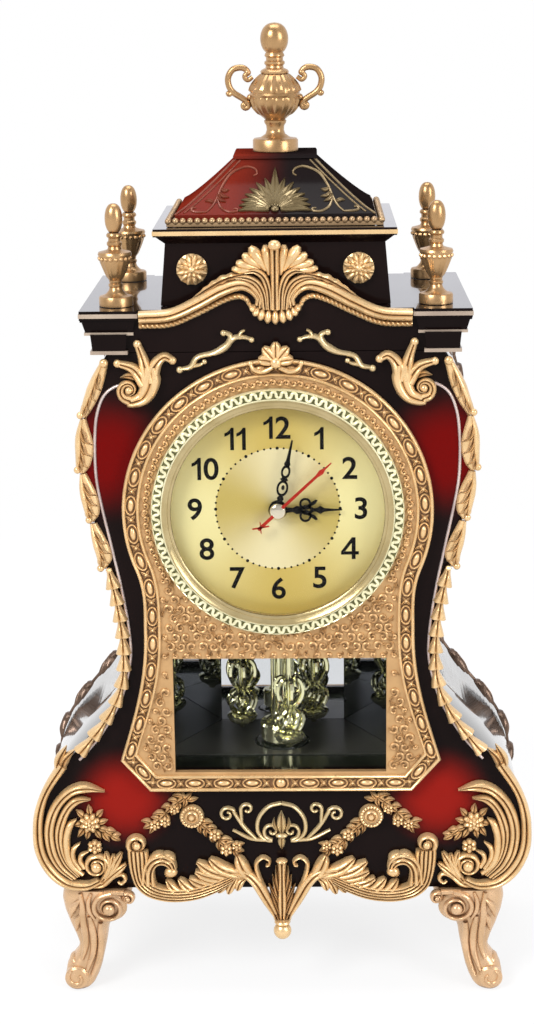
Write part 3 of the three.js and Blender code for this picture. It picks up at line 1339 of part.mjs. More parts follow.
// Back cover: fills the case's open back, with door, grille and control openings
function backCover() {
  const plate = slab(caseOutline(WALL + SEAT), COVER_INSIDE, REAR);
  const [inner, outer] = [COVER_INSIDE - LAP, REAR + LAP];
  const holes = [box([-DOOR_HALF, inner, DOOR_BOTTOM], [DOOR_HALF, outer, DOOR_TOP])];
  const grilleZ = CASE_FLOOR + SPEAKER_RISE;
  const grilleHalf = 0.6 * SPEAKER_RADIUS;
  for (let i = 0; i < GRILLE_SLOTS; i += 1) {
    const left = CONTROL_X + (i - (GRILLE_SLOTS - 1) / 2) * GRILLE_PITCH - GRILLE_SLOT_WIDTH / 2;
    const right = left + GRILLE_SLOT_WIDTH;
    holes.push(box([left, inner, grilleZ - grilleHalf], [right, outer, grilleZ + grilleHalf]));
  }
  holes.push(disc(-CONTROL_X, CASE_FLOOR + BUTTON_RISE, BUTTON_RADIUS + SEAT, inner, outer, 16));
  const slotHalf = (SWITCH_WIDTH + SWITCH_TRAVEL) / 2 + SEAT;
  const slotZ = CASE_FLOOR + SWITCH_RISE;
  const slotRise = SWITCH_HEIGHT / 2 + SEAT;
  holes.push(box(
    [-CONTROL_X - slotHalf, inner, slotZ - slotRise],
    [-CONTROL_X + slotHalf, outer, slotZ + slotRise],
  ));
  const lugs = [DOOR_LOW - SEAT - LUG_HEIGHT, DOOR_HIGH + SEAT].map((low) => box(
    [HINGE_X - HINGE_RADIUS, REAR - LAP, low],
    [HINGE_X + HINGE_RADIUS, HINGE_Y + HINGE_RADIUS, low + LUG_HEIGHT],
  ));
  const bore = HINGE_PIN_RADIUS + SEAT;
  const reach = HINGE_PIN_LENGTH + SEAT;
  const span = DOOR_HIGH - DOOR_LOW + 2 * reach;
  const socket = turned([[0, 0], [bore, 0], [bore, span], [0, span]], 12, HINGE_X, HINGE_Y, DOOR_LOW - reach);
  return join(cut(plate, ...holes), ...lugs.map((lug) => cut(lug, socket)));
}

// Door: overlaps the doorway, turns on moulded pins, and has a pull at its free edge
function rearDoor() {
  const right = DOOR_HALF + DOOR_LAP;
  const face = DOOR_FRONT + DOOR_THICKNESS;
  const panel = box([HINGE_X, DOOR_FRONT, DOOR_LOW], [right, face, DOOR_HIGH]);
  const [pinLow, pinHigh] = [DOOR_LOW - HINGE_PIN_LENGTH, DOOR_HIGH + HINGE_PIN_LENGTH];
  const barrel = turned([
    [0, pinLow],
    [HINGE_PIN_RADIUS, pinLow],
    [HINGE_PIN_RADIUS, DOOR_LOW],
    [HINGE_RADIUS, DOOR_LOW],
    [HINGE_RADIUS, DOOR_HIGH],
    [HINGE_PIN_RADIUS, DOOR_HIGH],
    [HINGE_PIN_RADIUS, pinHigh],
    [0, pinHigh],
  ], 12, HINGE_X, HINGE_Y, 0);
  const middle = (DOOR_LOW + DOOR_HIGH) / 2;
  const pull = box(
    [right - PULL_INSET - PULL_THICKNESS, face - LAP, middle - PULL_HEIGHT / 2],
    [right - PULL_INSET, face + PULL_PROUD, middle + PULL_HEIGHT / 2],
  );
  const ribLeft = 2 + SEAT - DOOR_HALF;
  const rib = box(
    [ribLeft, COVER_INSIDE, DOOR_BOTTOM + DOOR_LAP],
    [ribLeft + DOOR_RIB, DOOR_FRONT + LAP, DOOR_TOP - DOOR_LAP],
  );
  return join(panel, barrel, pull, rib);
}

// Push button and slide switch, each held by a flange behind the cover
function melodyButton() {
  const z = CASE_FLOOR + BUTTON_RISE;
  const back = COVER_INSIDE - SEAT;
  const front = back - FLANGE_THICKNESS;
  return join(
    disc(-CONTROL_X, z, BUTTON_RADIUS, front, REAR + BUTTON_TRAVEL + 1, 16),
    disc(-CONTROL_X, z, BUTTON_RADIUS + 2, front, back, 16),
  );
}

function soundSwitch() {
  const z = CASE_FLOOR + SWITCH_RISE;
  const half = SWITCH_WIDTH / 2;
  const rest = -CONTROL_X - SWITCH_TRAVEL / 2;
  const back = COVER_INSIDE - SEAT;
  const front = back - FLANGE_THICKNESS;
  const wing = 4;
  return join(
    box([rest - half, front, z - SWITCH_HEIGHT / 2], [rest + half, REAR + 1.6, z + SWITCH_HEIGHT / 2]),
    box([rest - half - wing, front, z - SWITCH_HEIGHT], [rest + half + wing, back, z + SWITCH_HEIGHT]),
  );
}

// Loudspeaker with its cone behind the grille
function speaker() {
  const back = COVER_INSIDE - SEAT;
  const magnet = back - SPEAKER_DEPTH;
  const rim = SPEAKER_RADIUS;
  const profile = [
    [0, magnet],
    [0.4 * rim, magnet],
    [0.4 * rim, magnet + 5],
    [rim - 3, back - 2],
    [rim, back - 2],
    [rim, back],
    [rim - 3, back],
    [0.3 * rim, back - 5],
    [0, back - 4],
  ];
  return turnedFacing(profile, 16, CONTROL_X, CASE_FLOOR + SPEAKER_RISE);
}

const MODULE_BACK = COVER_INSIDE - MODULE_SETBACK;
const MODULE_FLOOR = CASE_FLOOR + WALL + SEAT;
const TROUGH_PITCH = CELL_BAY + MODULE_WALL;
const cellLevel = (row) => MODULE_FLOOR + MODULE_WALL + CELL_BAY / 2 + row * TROUGH_PITCH;

// Sound module on the case floor: two cell troughs that face the door
function musicModule() {
  const body = box(
    [-MODULE_HALF, MODULE_BACK - MODULE_DEPTH, MODULE_FLOOR],
    [MODULE_HALF, MODULE_BACK, MODULE_FLOOR + MODULE_HEIGHT],
  );
  const troughs = [0, 1].map((row) => box(
    [-CELL_LENGTH / 2 - CELL_CLEARANCE, MODULE_BACK - CELL_BAY, cellLevel(row) - CELL_BAY / 2],
    [CELL_LENGTH / 2 + CELL_CLEARANCE, MODULE_BACK + LAP, cellLevel(row) + CELL_BAY / 2],
  ));
  return cut(body, ...troughs);
}

const SIDES = { left: -1, right: 1 };
const ENDS = { front: -1, rear: 1 };

addPiece('body_shell', bodyShell(), 'lacquer');
addPiece('back_cover', backCover(), 'plastic');
addPiece('rear_door', rearDoor(), 'plastic');
addPiece('top_deck', topDeck(), 'lacquer');
addPiece('attic', attic(), 'lacquer');
addPiece('bead_rail', beadRail(), 'gilt');
addPiece('roof', roof(), 'roofLacquer');
addPiece('urn', urn(), 'gilt');
for (const [label, side] of Object.entries(SIDES)) {
  addPiece(`urn_handle_${label}`, urnHandle(side), 'gilt');
  addPiece(`corner_scroll_${label}`, cornerScroll(side), 'gilt');
  addPiece(`sprig_${label}`, sprig(side), 'gilt');
  addPiece(`leaf_chain_${label}`, leafChain(side), 'gilt');
  addPiece(`rear_mount_${label}`, rearMount(side), 'gilt');
  addPiece(`base_scroll_${label}`, baseScroll(side), 'gilt');
  addPiece(`swag_${label}`, swag(side), 'gilt');
  addPiece(`rosette_${label}`, rosette(side), 'gilt');
  for (const [place, end] of Object.entries(ENDS)) {
    addPiece(`finial_${place}_${label}`, finial(side, end), 'gilt');
    addPiece(`foot_${place}_${label}`, foot(side, end), 'footGilt');
  }
}
addPiece('crest_rail', crestRail(), 'gilt');
addPiece('centre_scroll', centreScroll(), 'gilt');
addPiece('apron_mount', apronMount(), 'gilt');
addPiece('dial_frame', dialFrame(), 'gilt');
addPiece('bezel', bezel(), 'bezelGilt');
addPiece('lens', lens(), 'glass');
addPiece('dial', dial(), 'dialGold');
addPiece('hour_hand', hourHand(), 'black');
addPiece('minute_hand', minuteHand(), 'black');
addPiece('second_hand', secondHand(), 'red');
addPiece('window_glass', windowGlass(), 'glass');
addPiece('chamber_floor', chamberFloor(), 'floor');
addPiece('mirror_screen', mirrorScreen(), 'mirror');
addPiece('pendulum', pendulum(), 'chromeGold');
addPiece('pendulum_motor', pendulumMotor(), 'plastic');
addPiece('movement_case', movementCase(), 'plastic');
addPiece('movement_cover', movementCover(), 'plastic');
addPiece('movement_cell', cell(MOVEMENT_REAR - CELL_RADIUS, DIAL_Z + BAY_BOTTOM + CELL_BAY / 2), 'cell');
addPiece('third_wheel', thirdWheel(), 'nylon');
addPiece('centre_wheel', centreWheel(), 'nylon');
addPiece('motion_wheel', motionWheel(), 'nylon');
addPiece('setting_knob', settingKnob(), 'nylon');
addPiece('music_module', musicModule(), 'plastic');
addPiece('music_cell_lower', cell(MODULE_BACK - CELL_BAY / 2, cellLevel(0)), 'cell');
addPiece('music_cell_upper', cell(MODULE_BACK - CELL_BAY / 2, cellLevel(1)), 'cell');
addPiece('speaker', speaker(), 'cone');
addPiece('melody_button', melodyButton(), 'plastic');
addPiece('sound_switch', soundSwitch(), 'plastic');

// The floor's middle point under the whole clock is the origin
const bounds = new THREE.Box3().setFromObject(clock);
clock.position.y = -(bounds.min.y + bounds.max.y) / 2;

export default clock;
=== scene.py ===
import math

import bmesh
import bpy
from mathutils import Matrix, Vector
from mathutils.geometry import tessellate_polygon


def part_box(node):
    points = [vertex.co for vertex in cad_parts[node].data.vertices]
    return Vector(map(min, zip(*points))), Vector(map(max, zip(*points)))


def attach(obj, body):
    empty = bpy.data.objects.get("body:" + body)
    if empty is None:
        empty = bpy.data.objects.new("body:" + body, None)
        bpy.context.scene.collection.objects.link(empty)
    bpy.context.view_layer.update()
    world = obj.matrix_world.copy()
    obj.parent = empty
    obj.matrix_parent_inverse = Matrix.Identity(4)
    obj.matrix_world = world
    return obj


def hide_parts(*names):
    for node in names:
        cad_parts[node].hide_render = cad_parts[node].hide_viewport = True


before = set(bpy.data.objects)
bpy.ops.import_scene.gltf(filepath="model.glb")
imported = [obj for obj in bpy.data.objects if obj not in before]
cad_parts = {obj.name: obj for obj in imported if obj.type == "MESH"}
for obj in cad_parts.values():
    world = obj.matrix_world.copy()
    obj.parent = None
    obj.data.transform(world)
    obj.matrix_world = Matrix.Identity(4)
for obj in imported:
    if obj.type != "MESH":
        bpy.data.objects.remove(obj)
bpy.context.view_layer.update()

# Shapes are written in millimetres and scaled to metres when a piece is built
MM = 0.001


def extent(node):
    low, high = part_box(node)
    return low / MM, high / MM


# Levels and planes read from the frame
shell_low, shell_high = extent("body_shell")
CASE_FLOOR, NECK = shell_low.z, shell_high.z
FRONT, REAR = shell_low.y, shell_high.y
SEAT = 0.3
WALL = 3.0
PANEL = FRONT - SEAT
PANEL_BACK = FRONT + WALL
bezel_low, bezel_high = extent("bezel")
DIAL_Z = (bezel_low.z + bezel_high.z) / 2
BEZEL_RADIUS = (bezel_high.x - bezel_low.x) / 2
BEZEL_FRONT = bezel_low.y
DIAL_FACE = extent("dial")[0].y
DECK_TOP = extent("finial_front_left")[0].z - SEAT
attic_high = extent("attic")[1]
roof_low, roof_high = extent("roof")
URN_FOOT = extent("urn")[0].z
FRAME_BOTTOM = extent("dial_frame")[0].z
FRAME_FACE = PANEL - 3.0

# Outline of the waisted case: half-widths and heights over its floor
BASE_HALF = 101.0
BULGE_HALF, BULGE_RISE = 117.0, 26.0
WAIST_HALF, WAIST_RISE = 74.0, 121.0
SHOULDER_HALF, SHOULDER_RISE = 89.0, 218.0
NECK_HALF = 76.0
ROUNDING = 2.4
OUTLINE_STEPS = 120

# Window and frame
WINDOW_HALF = 50.0
WINDOW_BOTTOM, WINDOW_TOP = 115.6, 172.4
DIAL_HOLE = 52.8
FRAME_BORDER = 8.2

TAU = 2 * math.pi
LEFT_RIGHT = (("left", -1), ("right", 1))
SQUARE = ((-1, -1), (1, -1), (1, 1), (-1, 1))


def lerp(a, b, t):
    return a + (b - a) * t


def along(values, t):
    """The value at share t of a list of evenly spread values."""
    place = t * (len(values) - 1)
    i = min(int(place), len(values) - 2)
    return lerp(values[i], values[i + 1], place - i)


def case_half(z):
    """Half-width of the case at height z."""
    rise = min(max(z - CASE_FLOOR, 0.0), NECK - CASE_FLOOR)
    if rise < BULGE_RISE:
        t = (BULGE_RISE - rise) / BULGE_RISE
        return BULGE_HALF - (BULGE_HALF - BASE_HALF) * t**ROUNDING
    if rise < WAIST_RISE:
        t = (rise - BULGE_RISE) / (WAIST_RISE - BULGE_RISE)
        return lerp(BULGE_HALF, WAIST_HALF, t**3 * (t * (6 * t - 15) + 10))
    if rise < SHOULDER_RISE:
        t = (rise - WAIST_RISE) / (SHOULDER_RISE - WAIST_RISE)
        return lerp(WAIST_HALF, SHOULDER_HALF, t * t * (3 - 2 * t))
    t = (rise - SHOULDER_RISE) / (NECK - CASE_FLOOR - SHOULDER_RISE)
    return SHOULDER_HALF - (SHOULDER_HALF - NECK_HALF) * t**ROUNDING


def case_run(z):
    """The flank's run per unit of height at z, and the length of that step."""
    run = case_half(z + 0.5) - case_half(z - 0.5)
    return run, math.hypot(1, run)


def case_outline(inset):
    """Closed outline of the case in X and Z, moved inwards."""
    right = []
    for i in range(OUTLINE_STEPS + 1):
        level = lerp(CASE_FLOOR, NECK, i / OUTLINE_STEPS)
        z = min(max(level, CASE_FLOOR + inset), NECK - (inset if inset >= WALL else 0))
        right.append((case_half(level) - inset, z))
    return right + [(-x, z) for x, z in reversed(right)]


def reaches(points):
    """The length along a line to each of its points."""
    reach = [0.0]
    for p, q in zip(points, points[1:]):
        reach.append(reach[-1] + (q - p).length)
    return reach


CURVE_CUTS = 12


def smooth(points, steps, closed=False):
    """Points at even steps of length along a smooth curve through the given ones."""
    count = len(points)
    vectors = [Vector(p) for p in points]
    fine = []
    for i in range(count if closed else count - 1):
        if closed:
            a, b, c, d = (vectors[(i + k) % count] for k in (-1, 0, 1, 2))
        else:
            b, c = vectors[i], vectors[i + 1]
            a = vectors[i - 1] if i else 2 * b - c
            d = vectors[i + 2] if i + 2 < count else 2 * c - b
        for k in range(CURVE_CUTS):
            t = k / CURVE_CUTS
            fine.append(0.5 * (2 * b + (c - a) * t + (2 * a - 5 * b + 4 * c - d) * t * t
                               + (3 * b - a - 3 * c + d) * t**3))
    fine.append(vectors[0] if closed else vectors[-1])
    reach = reaches(fine)
    out = []
    j = 0
    for i in range(steps if closed else steps + 1):
        target = reach[-1] * i / steps
        while j < len(fine) - 2 and reach[j + 1] < target:
            j += 1
        span = reach[j + 1] - reach[j]
        out.append(fine[j].lerp(fine[j + 1], (target - reach[j]) / span if span else 0.0))
    return out


def tangents(line, closed):
    """The direction at each point of a line, from its neighbours."""
    last = len(line) - 1
    for i in range(len(line)):
        ahead = line[(i + 1) % len(line)] if closed else line[min(i + 1, last)]
        behind = line[i - 1] if closed else line[max(i - 1, 0)]
        yield (ahead - behind).normalized()


def spiral(x, z, outer, inner, start, sweep, steps=14):
    """Points of a volute about (x, z): angles in degrees, from the outer radius to the inner."""
    points = []
    for i in range(steps + 1):
        t = i / steps
        angle = math.radians(start + sweep * t)
        radius = lerp(outer, inner, t**0.8)
        points.append((x + radius * math.cos(angle), z + radius * math.sin(angle)))
    return points


def ring_points(x, z, radius, count=20, tall=1.0):
    turns = [TAU * i / count for i in range(count)]
    return [(x + radius * math.cos(turn), z + tall * radius * math.sin(turn)) for turn in turns]


def circle(radius, count=96, z=DIAL_Z):
    return ring_points(0, z, radius, count)


def rectangle(half, bottom, top):
    return [(-half, bottom), (half, bottom), (half, top), (-half, top)]


def round_section(u):
    return math.sqrt(max(0.0, 1 - u * u))


def vein_section(u):
    """A leaf's section: rounded, with a groove along its middle."""
    return round_section(u) ** 0.8 * (0.58 + 0.42 * min(1.0, abs(u) * 2.6))


RIB_FLOOR = 0.64


def ribbed(count):
    """A section of rounded ribs side by side, highest in the middle."""
    def section(u):
        rib = abs(math.sin(math.pi * count * (u + 1) / 2)) ** 0.7
        return (0.72 + 0.28 * round_section(u)) * lerp(RIB_FLOOR, 1, rib)
    return section


def stations(cuts, ribs):
    """Places across a section from -1 to 1: even over ribs, closer near the edges without them."""
    if ribs:
        return [k / (3 * ribs) - 1 for k in range(6 * ribs + 1)]
    return [-math.cos(math.pi * k / (cuts - 1)) for k in range(cuts)]


def mirrored(side, points):
    return [(side * x, z) for x, z in points]


# Share of its relief that the thinnest band has, and the width per relief that would add a whole one
THIN_SHARE, FULL_WIDTH = 0.35, 1.6


def band_height(relief, width):
    """Height of a band in relief: lower where it is narrow."""
    return relief * min(1.0, THIN_SHARE + width / (FULL_WIDTH * relief))


class Form:
    """Points in millimetres and faces of one piece."""

    def __init__(self, place=None):
        self.points = []
        self.faces = []
        self.place = place

    def add(self, points, faces):
        base = len(self.points)
        placed = [self.place(*p) for p in points] if self.place else points
        self.points.extend(tuple(p) for p in placed)
        self.faces.extend(tuple(base + i for i in face) for face in faces)

    def loft(self, rings, caps=True, closed=False):
        """A skin over rings of equal counts."""
        count = len(rings[0])
        points = [p for ring in rings for p in ring]
        faces = []
        for r in range(len(rings) if closed else len(rings) - 1):
            here, there = r * count, (r + 1) % len(rings) * count
            for i in range(count):
                j = (i + 1) % count
                faces.append((here + i, here + j, there + j, there + i))
        if caps and not closed:
            faces.append(tuple(range(count)))
            faces.append(tuple(range((len(rings) - 1) * count, len(rings) * count)))
        self.add(points, faces)

    def lathe(self, profile, x=0.0, y=0.0, z=0.0, sides=40, facing=False, flutes=None):
        """A profile of (radius, height) turned about Z, or about Y when it faces the front.

        flutes is (count, depth, low, high): grooves between those heights."""
        rings = []
        for radius, height in profile:
            ring = []
            for i in range(sides):
                angle = TAU * i / sides
                r = max(radius, 1e-4)
                if flutes and flutes[2] <= height <= flutes[3]:
                    r *= 1 - flutes[1] * abs(math.sin(flutes[0] * angle / 2)) ** 0.5 + flutes[1]
                a, b = r * math.cos(angle), r * math.sin(angle)
                ring.append((x + a, y - height, z + b) if facing else (x + a, y + b, z + height))
            rings.append(ring)
        self.loft(rings)

    def ball(self, x, y, z, radius, stretch=(1, 1, 1), sides=12):
        half = sides // 2
        rings = []
        for j in range(half + 1):
            level = math.pi * j / half
            r, height = max(math.sin(level), 1e-4) * radius, -math.cos(level) * radius
            turns = [TAU * i / sides for i in range(sides)]
            rings.append([(x + stretch[0] * r * math.cos(turn), y + stretch[1] * r * math.sin(turn),
                           z + stretch[2] * height) for turn in turns])
        self.loft(rings)

    def strand(self, path, widths, relief, section=round_section, steps=None, plane=PANEL, cuts=9,
               closed=False, ripple=None, ribs=0):
        """A band in relief along (x, z) points on a plane that faces the front.

        ripple(t, u) scales its height, and ribs part its section."""
        steps = steps or max(8, 4 * len(path))
        line = smooth(path, steps, closed)
        if ribs:
            section = ribbed(ribs)
        across = stations(cuts, ribs)
        rings = []
        for i, (p, tangent) in enumerate(zip(line, tangents(line, closed))):
            t = i / steps
            half = along(widths, t) / 2
            height = band_height(relief, 2 * half)
            ring = [(p.x + half * tangent.y, plane, p.y - half * tangent.x)]
            for u in across:
                lift = height * section(u) * (ripple(t, u) if ripple else 1.0)
                ring.append((p.x - u * half * tangent.y, plane - lift, p.y + u * half * tangent.x))
            ring.append((p.x - half * tangent.y, plane, p.y + half * tangent.x))
            rings.append(ring)
        self.loft(rings, closed=closed)

    def fan(self, edge_a, edge_b, relief, ribs=3, steps=40, plane=PANEL, section=None, ripple=None):
        """A leaf in relief between two edges of (x, z) points."""
        line_a, line_b = smooth(edge_a, steps), smooth(edge_b, steps)
        across = stations(15, 0 if section else ribs)
        section = section or ribbed(ribs)
        rings = []
        for i, (p, q) in enumerate(zip(line_a, line_b)):
            height = band_height(relief, (q - p).length)
            ring = [(p.x, plane, p.y)]
            for u in across:
                lift = height * section(u) * (ripple(i / steps, u) if ripple else 1.0)
                place = p.lerp(q, (u + 1) / 2)
                ring.append((place.x, plane - lift, place.y))
            ring.append((q.x, plane, q.y))
            rings.append(ring)
        self.loft(rings)

    def frond(self, path, width, relief, plane=PANEL, steps=14, scallops=0):
        """A pointed leaf with a middle vein along (x, z) points; scallops notch its edges."""
        shape = [0.35, 0.8, 1.0, 0.85, 0.5, 0.08]
        count = 8 * scallops or 5
        widths = []
        for i in range(count + 1):
            notch = 0.13 + 0.13 * math.cos(TAU * scallops * i / count) if scallops else 0.0
            widths.append(width * along(shape, i / count) * (1 - notch))
        self.strand(path, widths, relief, vein_section, max(steps, 6 * scallops), plane, 9)

    def plume(self, path, width, relief, ribs=2, plane=PANEL, steps=26):
        """A fluted leaf with a rounded end that rises towards its tip."""
        shape = [0.45, 0.62, 0.8, 0.94, 1.0, 0.96, 0.8, 0.35]
        self.strand(path, [width * share for share in shape], relief, steps=steps, plane=plane,
                    ripple=lambda t, u: lerp(0.72, 1.0, t), ribs=ribs)

    def leaf(self, root, tip, width, relief, bend=0.0, plane=PANEL, steps=8):
        """A pointed leaf between two points, bent to one side."""
        root, tip = Vector(root), Vector(tip)
        axis = tip - root
        middle = (root + tip) / 2 + bend * Vector((-axis.y, axis.x))
        self.frond([root, middle, tip], width, relief, plane, steps)

    def volute(self, side, x, z, outer, start, sweep, width, relief, plane=PANEL):
        """A band rolled up about (x, z), with a knob in its eye."""
        path = spiral(x, z, outer - width / 2, 0.26 * outer, start, sweep)
        self.strand(mirrored(side, path), [width, 0.9 * width, 0.7 * width, 0.5 * width], relief, steps=56,
                    plane=plane)
        self.ball(side * x, plane - 0.6 * relief, z, 0.3 * outer)

    def flower(self, x, z, radius, petals=6, relief=2.6, plane=PANEL):
        """A round flower: broad petals about a knob."""
        width = 4.8 * radius / petals
        for i in range(petals):
            angle = TAU * (i + 0.5) / petals
            path = [(x + share * radius * math.cos(angle), z + share * radius * math.sin(angle))
                    for share in (0.2, 0.6, 1.0)]
            widths = [0.5 * width, width, 1.05 * width, 0.6 * width]
            self.strand(path, widths, relief, steps=6, plane=plane, cuts=7)
        self.ball(x, plane - 0.75 * relief, z, 0.3 * radius, (1, 0.9, 1), 10)

    def tube(self, path, radius, steps=None, closed=False, sides=8, ends=1.0):
        """A round wire along 3D points; ends scales its radius at both ends."""
        steps = steps or 6 * len(path)
        line = smooth(path, steps, closed)
        count = len(line)
        rings = []
        for i, (p, tangent) in enumerate(zip(line, tangents(line, closed))):
            across = tangent.cross(Vector((0, 1, 0)))
            if across.length < 1e-3:
                across = tangent.cross(Vector((1, 0, 0)))
            across.normalize()
            up = across.cross(tangent)
            r = radius * lerp(ends, 1.0, min(1.0, 4 * min(i, count - 1 - i) / count))
            ring = []
            for k in range(sides):
                angle = TAU * k / sides
                ring.append(p + r * (math.cos(angle) * across + math.sin(angle) * up))
            rings.append(ring)
        self.loft(rings, closed=closed)

    def sheet(self, loops, y):
        """A flat face with holes on one plane, from closed (x, z) outlines."""
        flat = [[Vector((x, z, 0)) for x, z in loop] for loop in loops]
        self.add([(x, y, z) for loop in loops for x, z in loop], tessellate_polygon(flat))

    def walls(self, loops, front, back):
        """Skins between two planes along closed (x, z) outlines."""
        for loop in loops:
            self.loft([[(x, y, z) for x, z in loop] for y in (front, back)], caps=False)

    def plate(self, outline, holes, front, back):
        """A flat slab with holes between two planes."""
        loops = [outline] + holes
        for y in (front, back):
            self.sheet(loops, y)
        self.walls(loops, front, back)

    def square_ring(self, x, y, outer, inner, low, high):
        """A mitred square rail round (x, y); outer and inner are (half width, half depth)."""
        rings = []
        for half, level in ((outer, low), (outer, high), (inner, high), (inner, low)):
            rings.append([(x + i * half[0], y + j * half[1], level) for i, j in SQUARE])
        self.loft(rings, closed=True)

    def build(self, name, material, slot, body="case", replaces=(), angle=40.0):
        mesh = bpy.data.meshes.new(name)
        mesh.from_pydata([tuple(MM * c for c in p) for p in self.points], [], self.faces)
        work = bmesh.new()
        work.from_mesh(mesh)
        bmesh.ops.remove_doubles(work, verts=work.verts, dist=2e-6)
        bmesh.ops.dissolve_degenerate(work, edges=work.edges, dist=1e-7)
        bmesh.ops.recalc_face_normals(work, faces=work.faces)
        work.to_mesh(mesh)
        work.free()
        mesh.polygons.foreach_set("use_smooth", [True] * len(mesh.polygons))
        mesh.set_sharp_from_angle(angle=math.radians(angle))
        piece = bpy.data.objects.new(name, mesh)
        bpy.context.scene.collection.objects.link(piece)
        piece.data.materials.append(material)
        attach(piece, body)
        if replaces:
            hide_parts(*replaces)

    def dress(self, node, material, slot="gilt", body="case", angle=40.0):
        """The piece that takes a node's place."""
        self.build(node + "_dressed", material, slot, body, [node], angle)


# Materials

class Graph:
    """The node tree of a material or of the world."""

    def __init__(self, owner):
        owner.use_nodes = True
        self.nodes, self.links = owner.node_tree.nodes, owner.node_tree.links

    def feed(self, node, inputs):
        """Links a node's inputs to sockets, or sets their constants."""
        for key, value in inputs.items():
            if isinstance(value, bpy.types.NodeSocket):
                self.links.new(value, node.inputs[key])
            else:
                node.inputs[key].default_value = value

    def add(self, kind, inputs, **settings):
        """A new node's outputs."""
        node = self.nodes.new(kind)
        for name, value in settings.items():
            setattr(node, name, value)
        self.feed(node, inputs)
        return node.outputs

    def calc(self, operation, *values):
        return self.add("ShaderNodeMath", dict(enumerate(values)), operation=operation)["Value"]

    def vector(self, operation, *values):
        return self.add("ShaderNodeVectorMath", dict(enumerate(values)), operation=operation)

    def position(self):
        return self.add("ShaderNodeTexCoord", {})["Object"]

    def parts(self, vector):
        return self.add("ShaderNodeSeparateXYZ", {"Vector": vector})

    def fade(self, value, start, end, low, high, kind="SMOOTHSTEP"):
        """A change from one level to another as a value goes from start to end."""
        levels = {"Value": value, "From Min": start, "From Max": end, "To Min": low, "To Max": high}
        return self.add("ShaderNodeMapRange", levels, interpolation_type=kind)["Result"]

    def mix(self, factor, a, b):
        return self.add("ShaderNodeMix", {"Factor": factor, "A": a, "B": b}, data_type="RGBA")["Result"]

    def ramp(self, factor, places, low, high):
        """One colour up to the first place, another from the second on."""
        node = self.nodes.new("ShaderNodeValToRGB")
        for element, place, colour in zip(node.color_ramp.elements, places, (low, high)):
            element.position = place
            element.color = (*colour, 1)
        self.links.new(factor, node.inputs["Fac"])
        return node.outputs["Color"]

    def mottle(self, scale, low, high):
        """Noise over the surface between two colours."""
        inputs = {"Scale": scale, "Detail": NOISE_DETAIL, "Vector": self.position()}
        return self.ramp(self.add("ShaderNodeTexNoise", inputs)["Fac"], NOISE_RANGE, low, high)

    def mottled_grey(self, scale, levels):
        return self.mottle(scale, *(grey(level) for level in levels))


def new_material(name):
    material = bpy.data.materials.new(name)
    graph = Graph(material)
    return material, graph, graph.nodes["Principled BSDF"]


def grey(level):
    return (level, level, level)


def gilt_material(name, light, deep, painted_shade, metallic=0.55, roughness=(0.24, 0.34), reach=0.0026):
    """Satin gilding with painted shade in its recesses, where an occlusion mask darkens its colour; reach
    is their width in metres.
    """
    material, graph, shader = new_material(name)
    hollow = graph.add("ShaderNodeAmbientOcclusion", {"Distance": reach}, samples=SHADE_SAMPLES)["AO"]
    # share is how open the gilding is: where it is low, the colour takes the painted shade
    share = graph.ramp(hollow, SHADE_RANGE, grey(0), grey(1))
    graph.feed(shader, {
        "Base Color": graph.mix(share, (*painted_shade, 1), graph.mottle(GILT_MOTTLE, deep, light)),
        "Roughness": graph.mottled_grey(GILT_GRAIN, roughness),
        "Metallic": metallic,
    })
    return material


def plain_material(name, low, high, scale, metallic, roughness, specular=0.5):
    material, graph, shader = new_material(name)
    graph.feed(shader, {
        "Base Color": graph.mottle(scale, low, high),
        "Roughness": graph.mottled_grey(2 * scale, roughness),
        "Metallic": metallic,
        "Specular IOR Level": specular,
    })
    return material


def glow_spot(graph, x, z, reach):
    """A soft spot about both (x, z) and (-x, z), in millimetres, as a factor from 0 to 1."""
    place = graph.parts(graph.position())
    folded = graph.add("ShaderNodeCombineXYZ", {"X": graph.calc("ABSOLUTE", place["X"]), "Z": place["Z"]})
    gap = graph.vector("DISTANCE", folded["Vector"], (x * MM, 0, z * MM))["Value"]
    return graph.fade(gap, reach * MM, GLOW_CORE * reach * MM, 0.0, 1.0, "SMOOTHERSTEP")


def flank_share(graph, flank=1.0, front=0.0):
    """One level on faces that look up or to the sides, another on those that look to the front or back."""
    normal = graph.parts(graph.add("ShaderNodeNewGeometry", {})["Normal"])
    return graph.fade(graph.calc("ABSOLUTE", normal["Y"]), *FLANK_RANGE, flank, front)


def lacquer_material(name, spots, base, deep):
    """Polished lacquer, near black with red spots, and with a clear coat on its flanks and top."""
    material, graph, shader = new_material(name)
    colour = graph.mottle(LACQUER_MOTTLE, deep, base)
    for x, z, reach, red in spots:
        colour = graph.mix(glow_spot(graph, x, z, reach), colour, (*red, 1))
    graph.feed(shader, {
        "Base Color": colour,
        "Roughness": graph.mottled_grey(LACQUER_GRAIN, (0.1, 0.16)),
        "Specular IOR Level": LACQUER_GLOSS,
        "Coat Weight": flank_share(graph),
        "Coat Roughness": 0.03,
    })
    return material


def roof_material():
    """Lacquer that passes from red on the left to near black on the right."""
    material, graph, shader = new_material("roof_lacquer")
    share = graph.fade(graph.parts(graph.position())["X"], *ROOF_CHANGE, 0.0, 1.0)
    red, black = (graph.mottle(ROOF_MOTTLE, *tones) for tones in ROOF_TONES)
    graph.feed(shader, {
        "Base Color": graph.mix(share, red, black),
        "Roughness": graph.mottled_grey(LACQUER_GRAIN, (0.14, 0.22)),
        "Specular IOR Level": 0.0,
        "Coat Weight": flank_share(graph, 0.0, ROOF_COAT),
        "Coat Roughness": 0.06,
    })
    return material


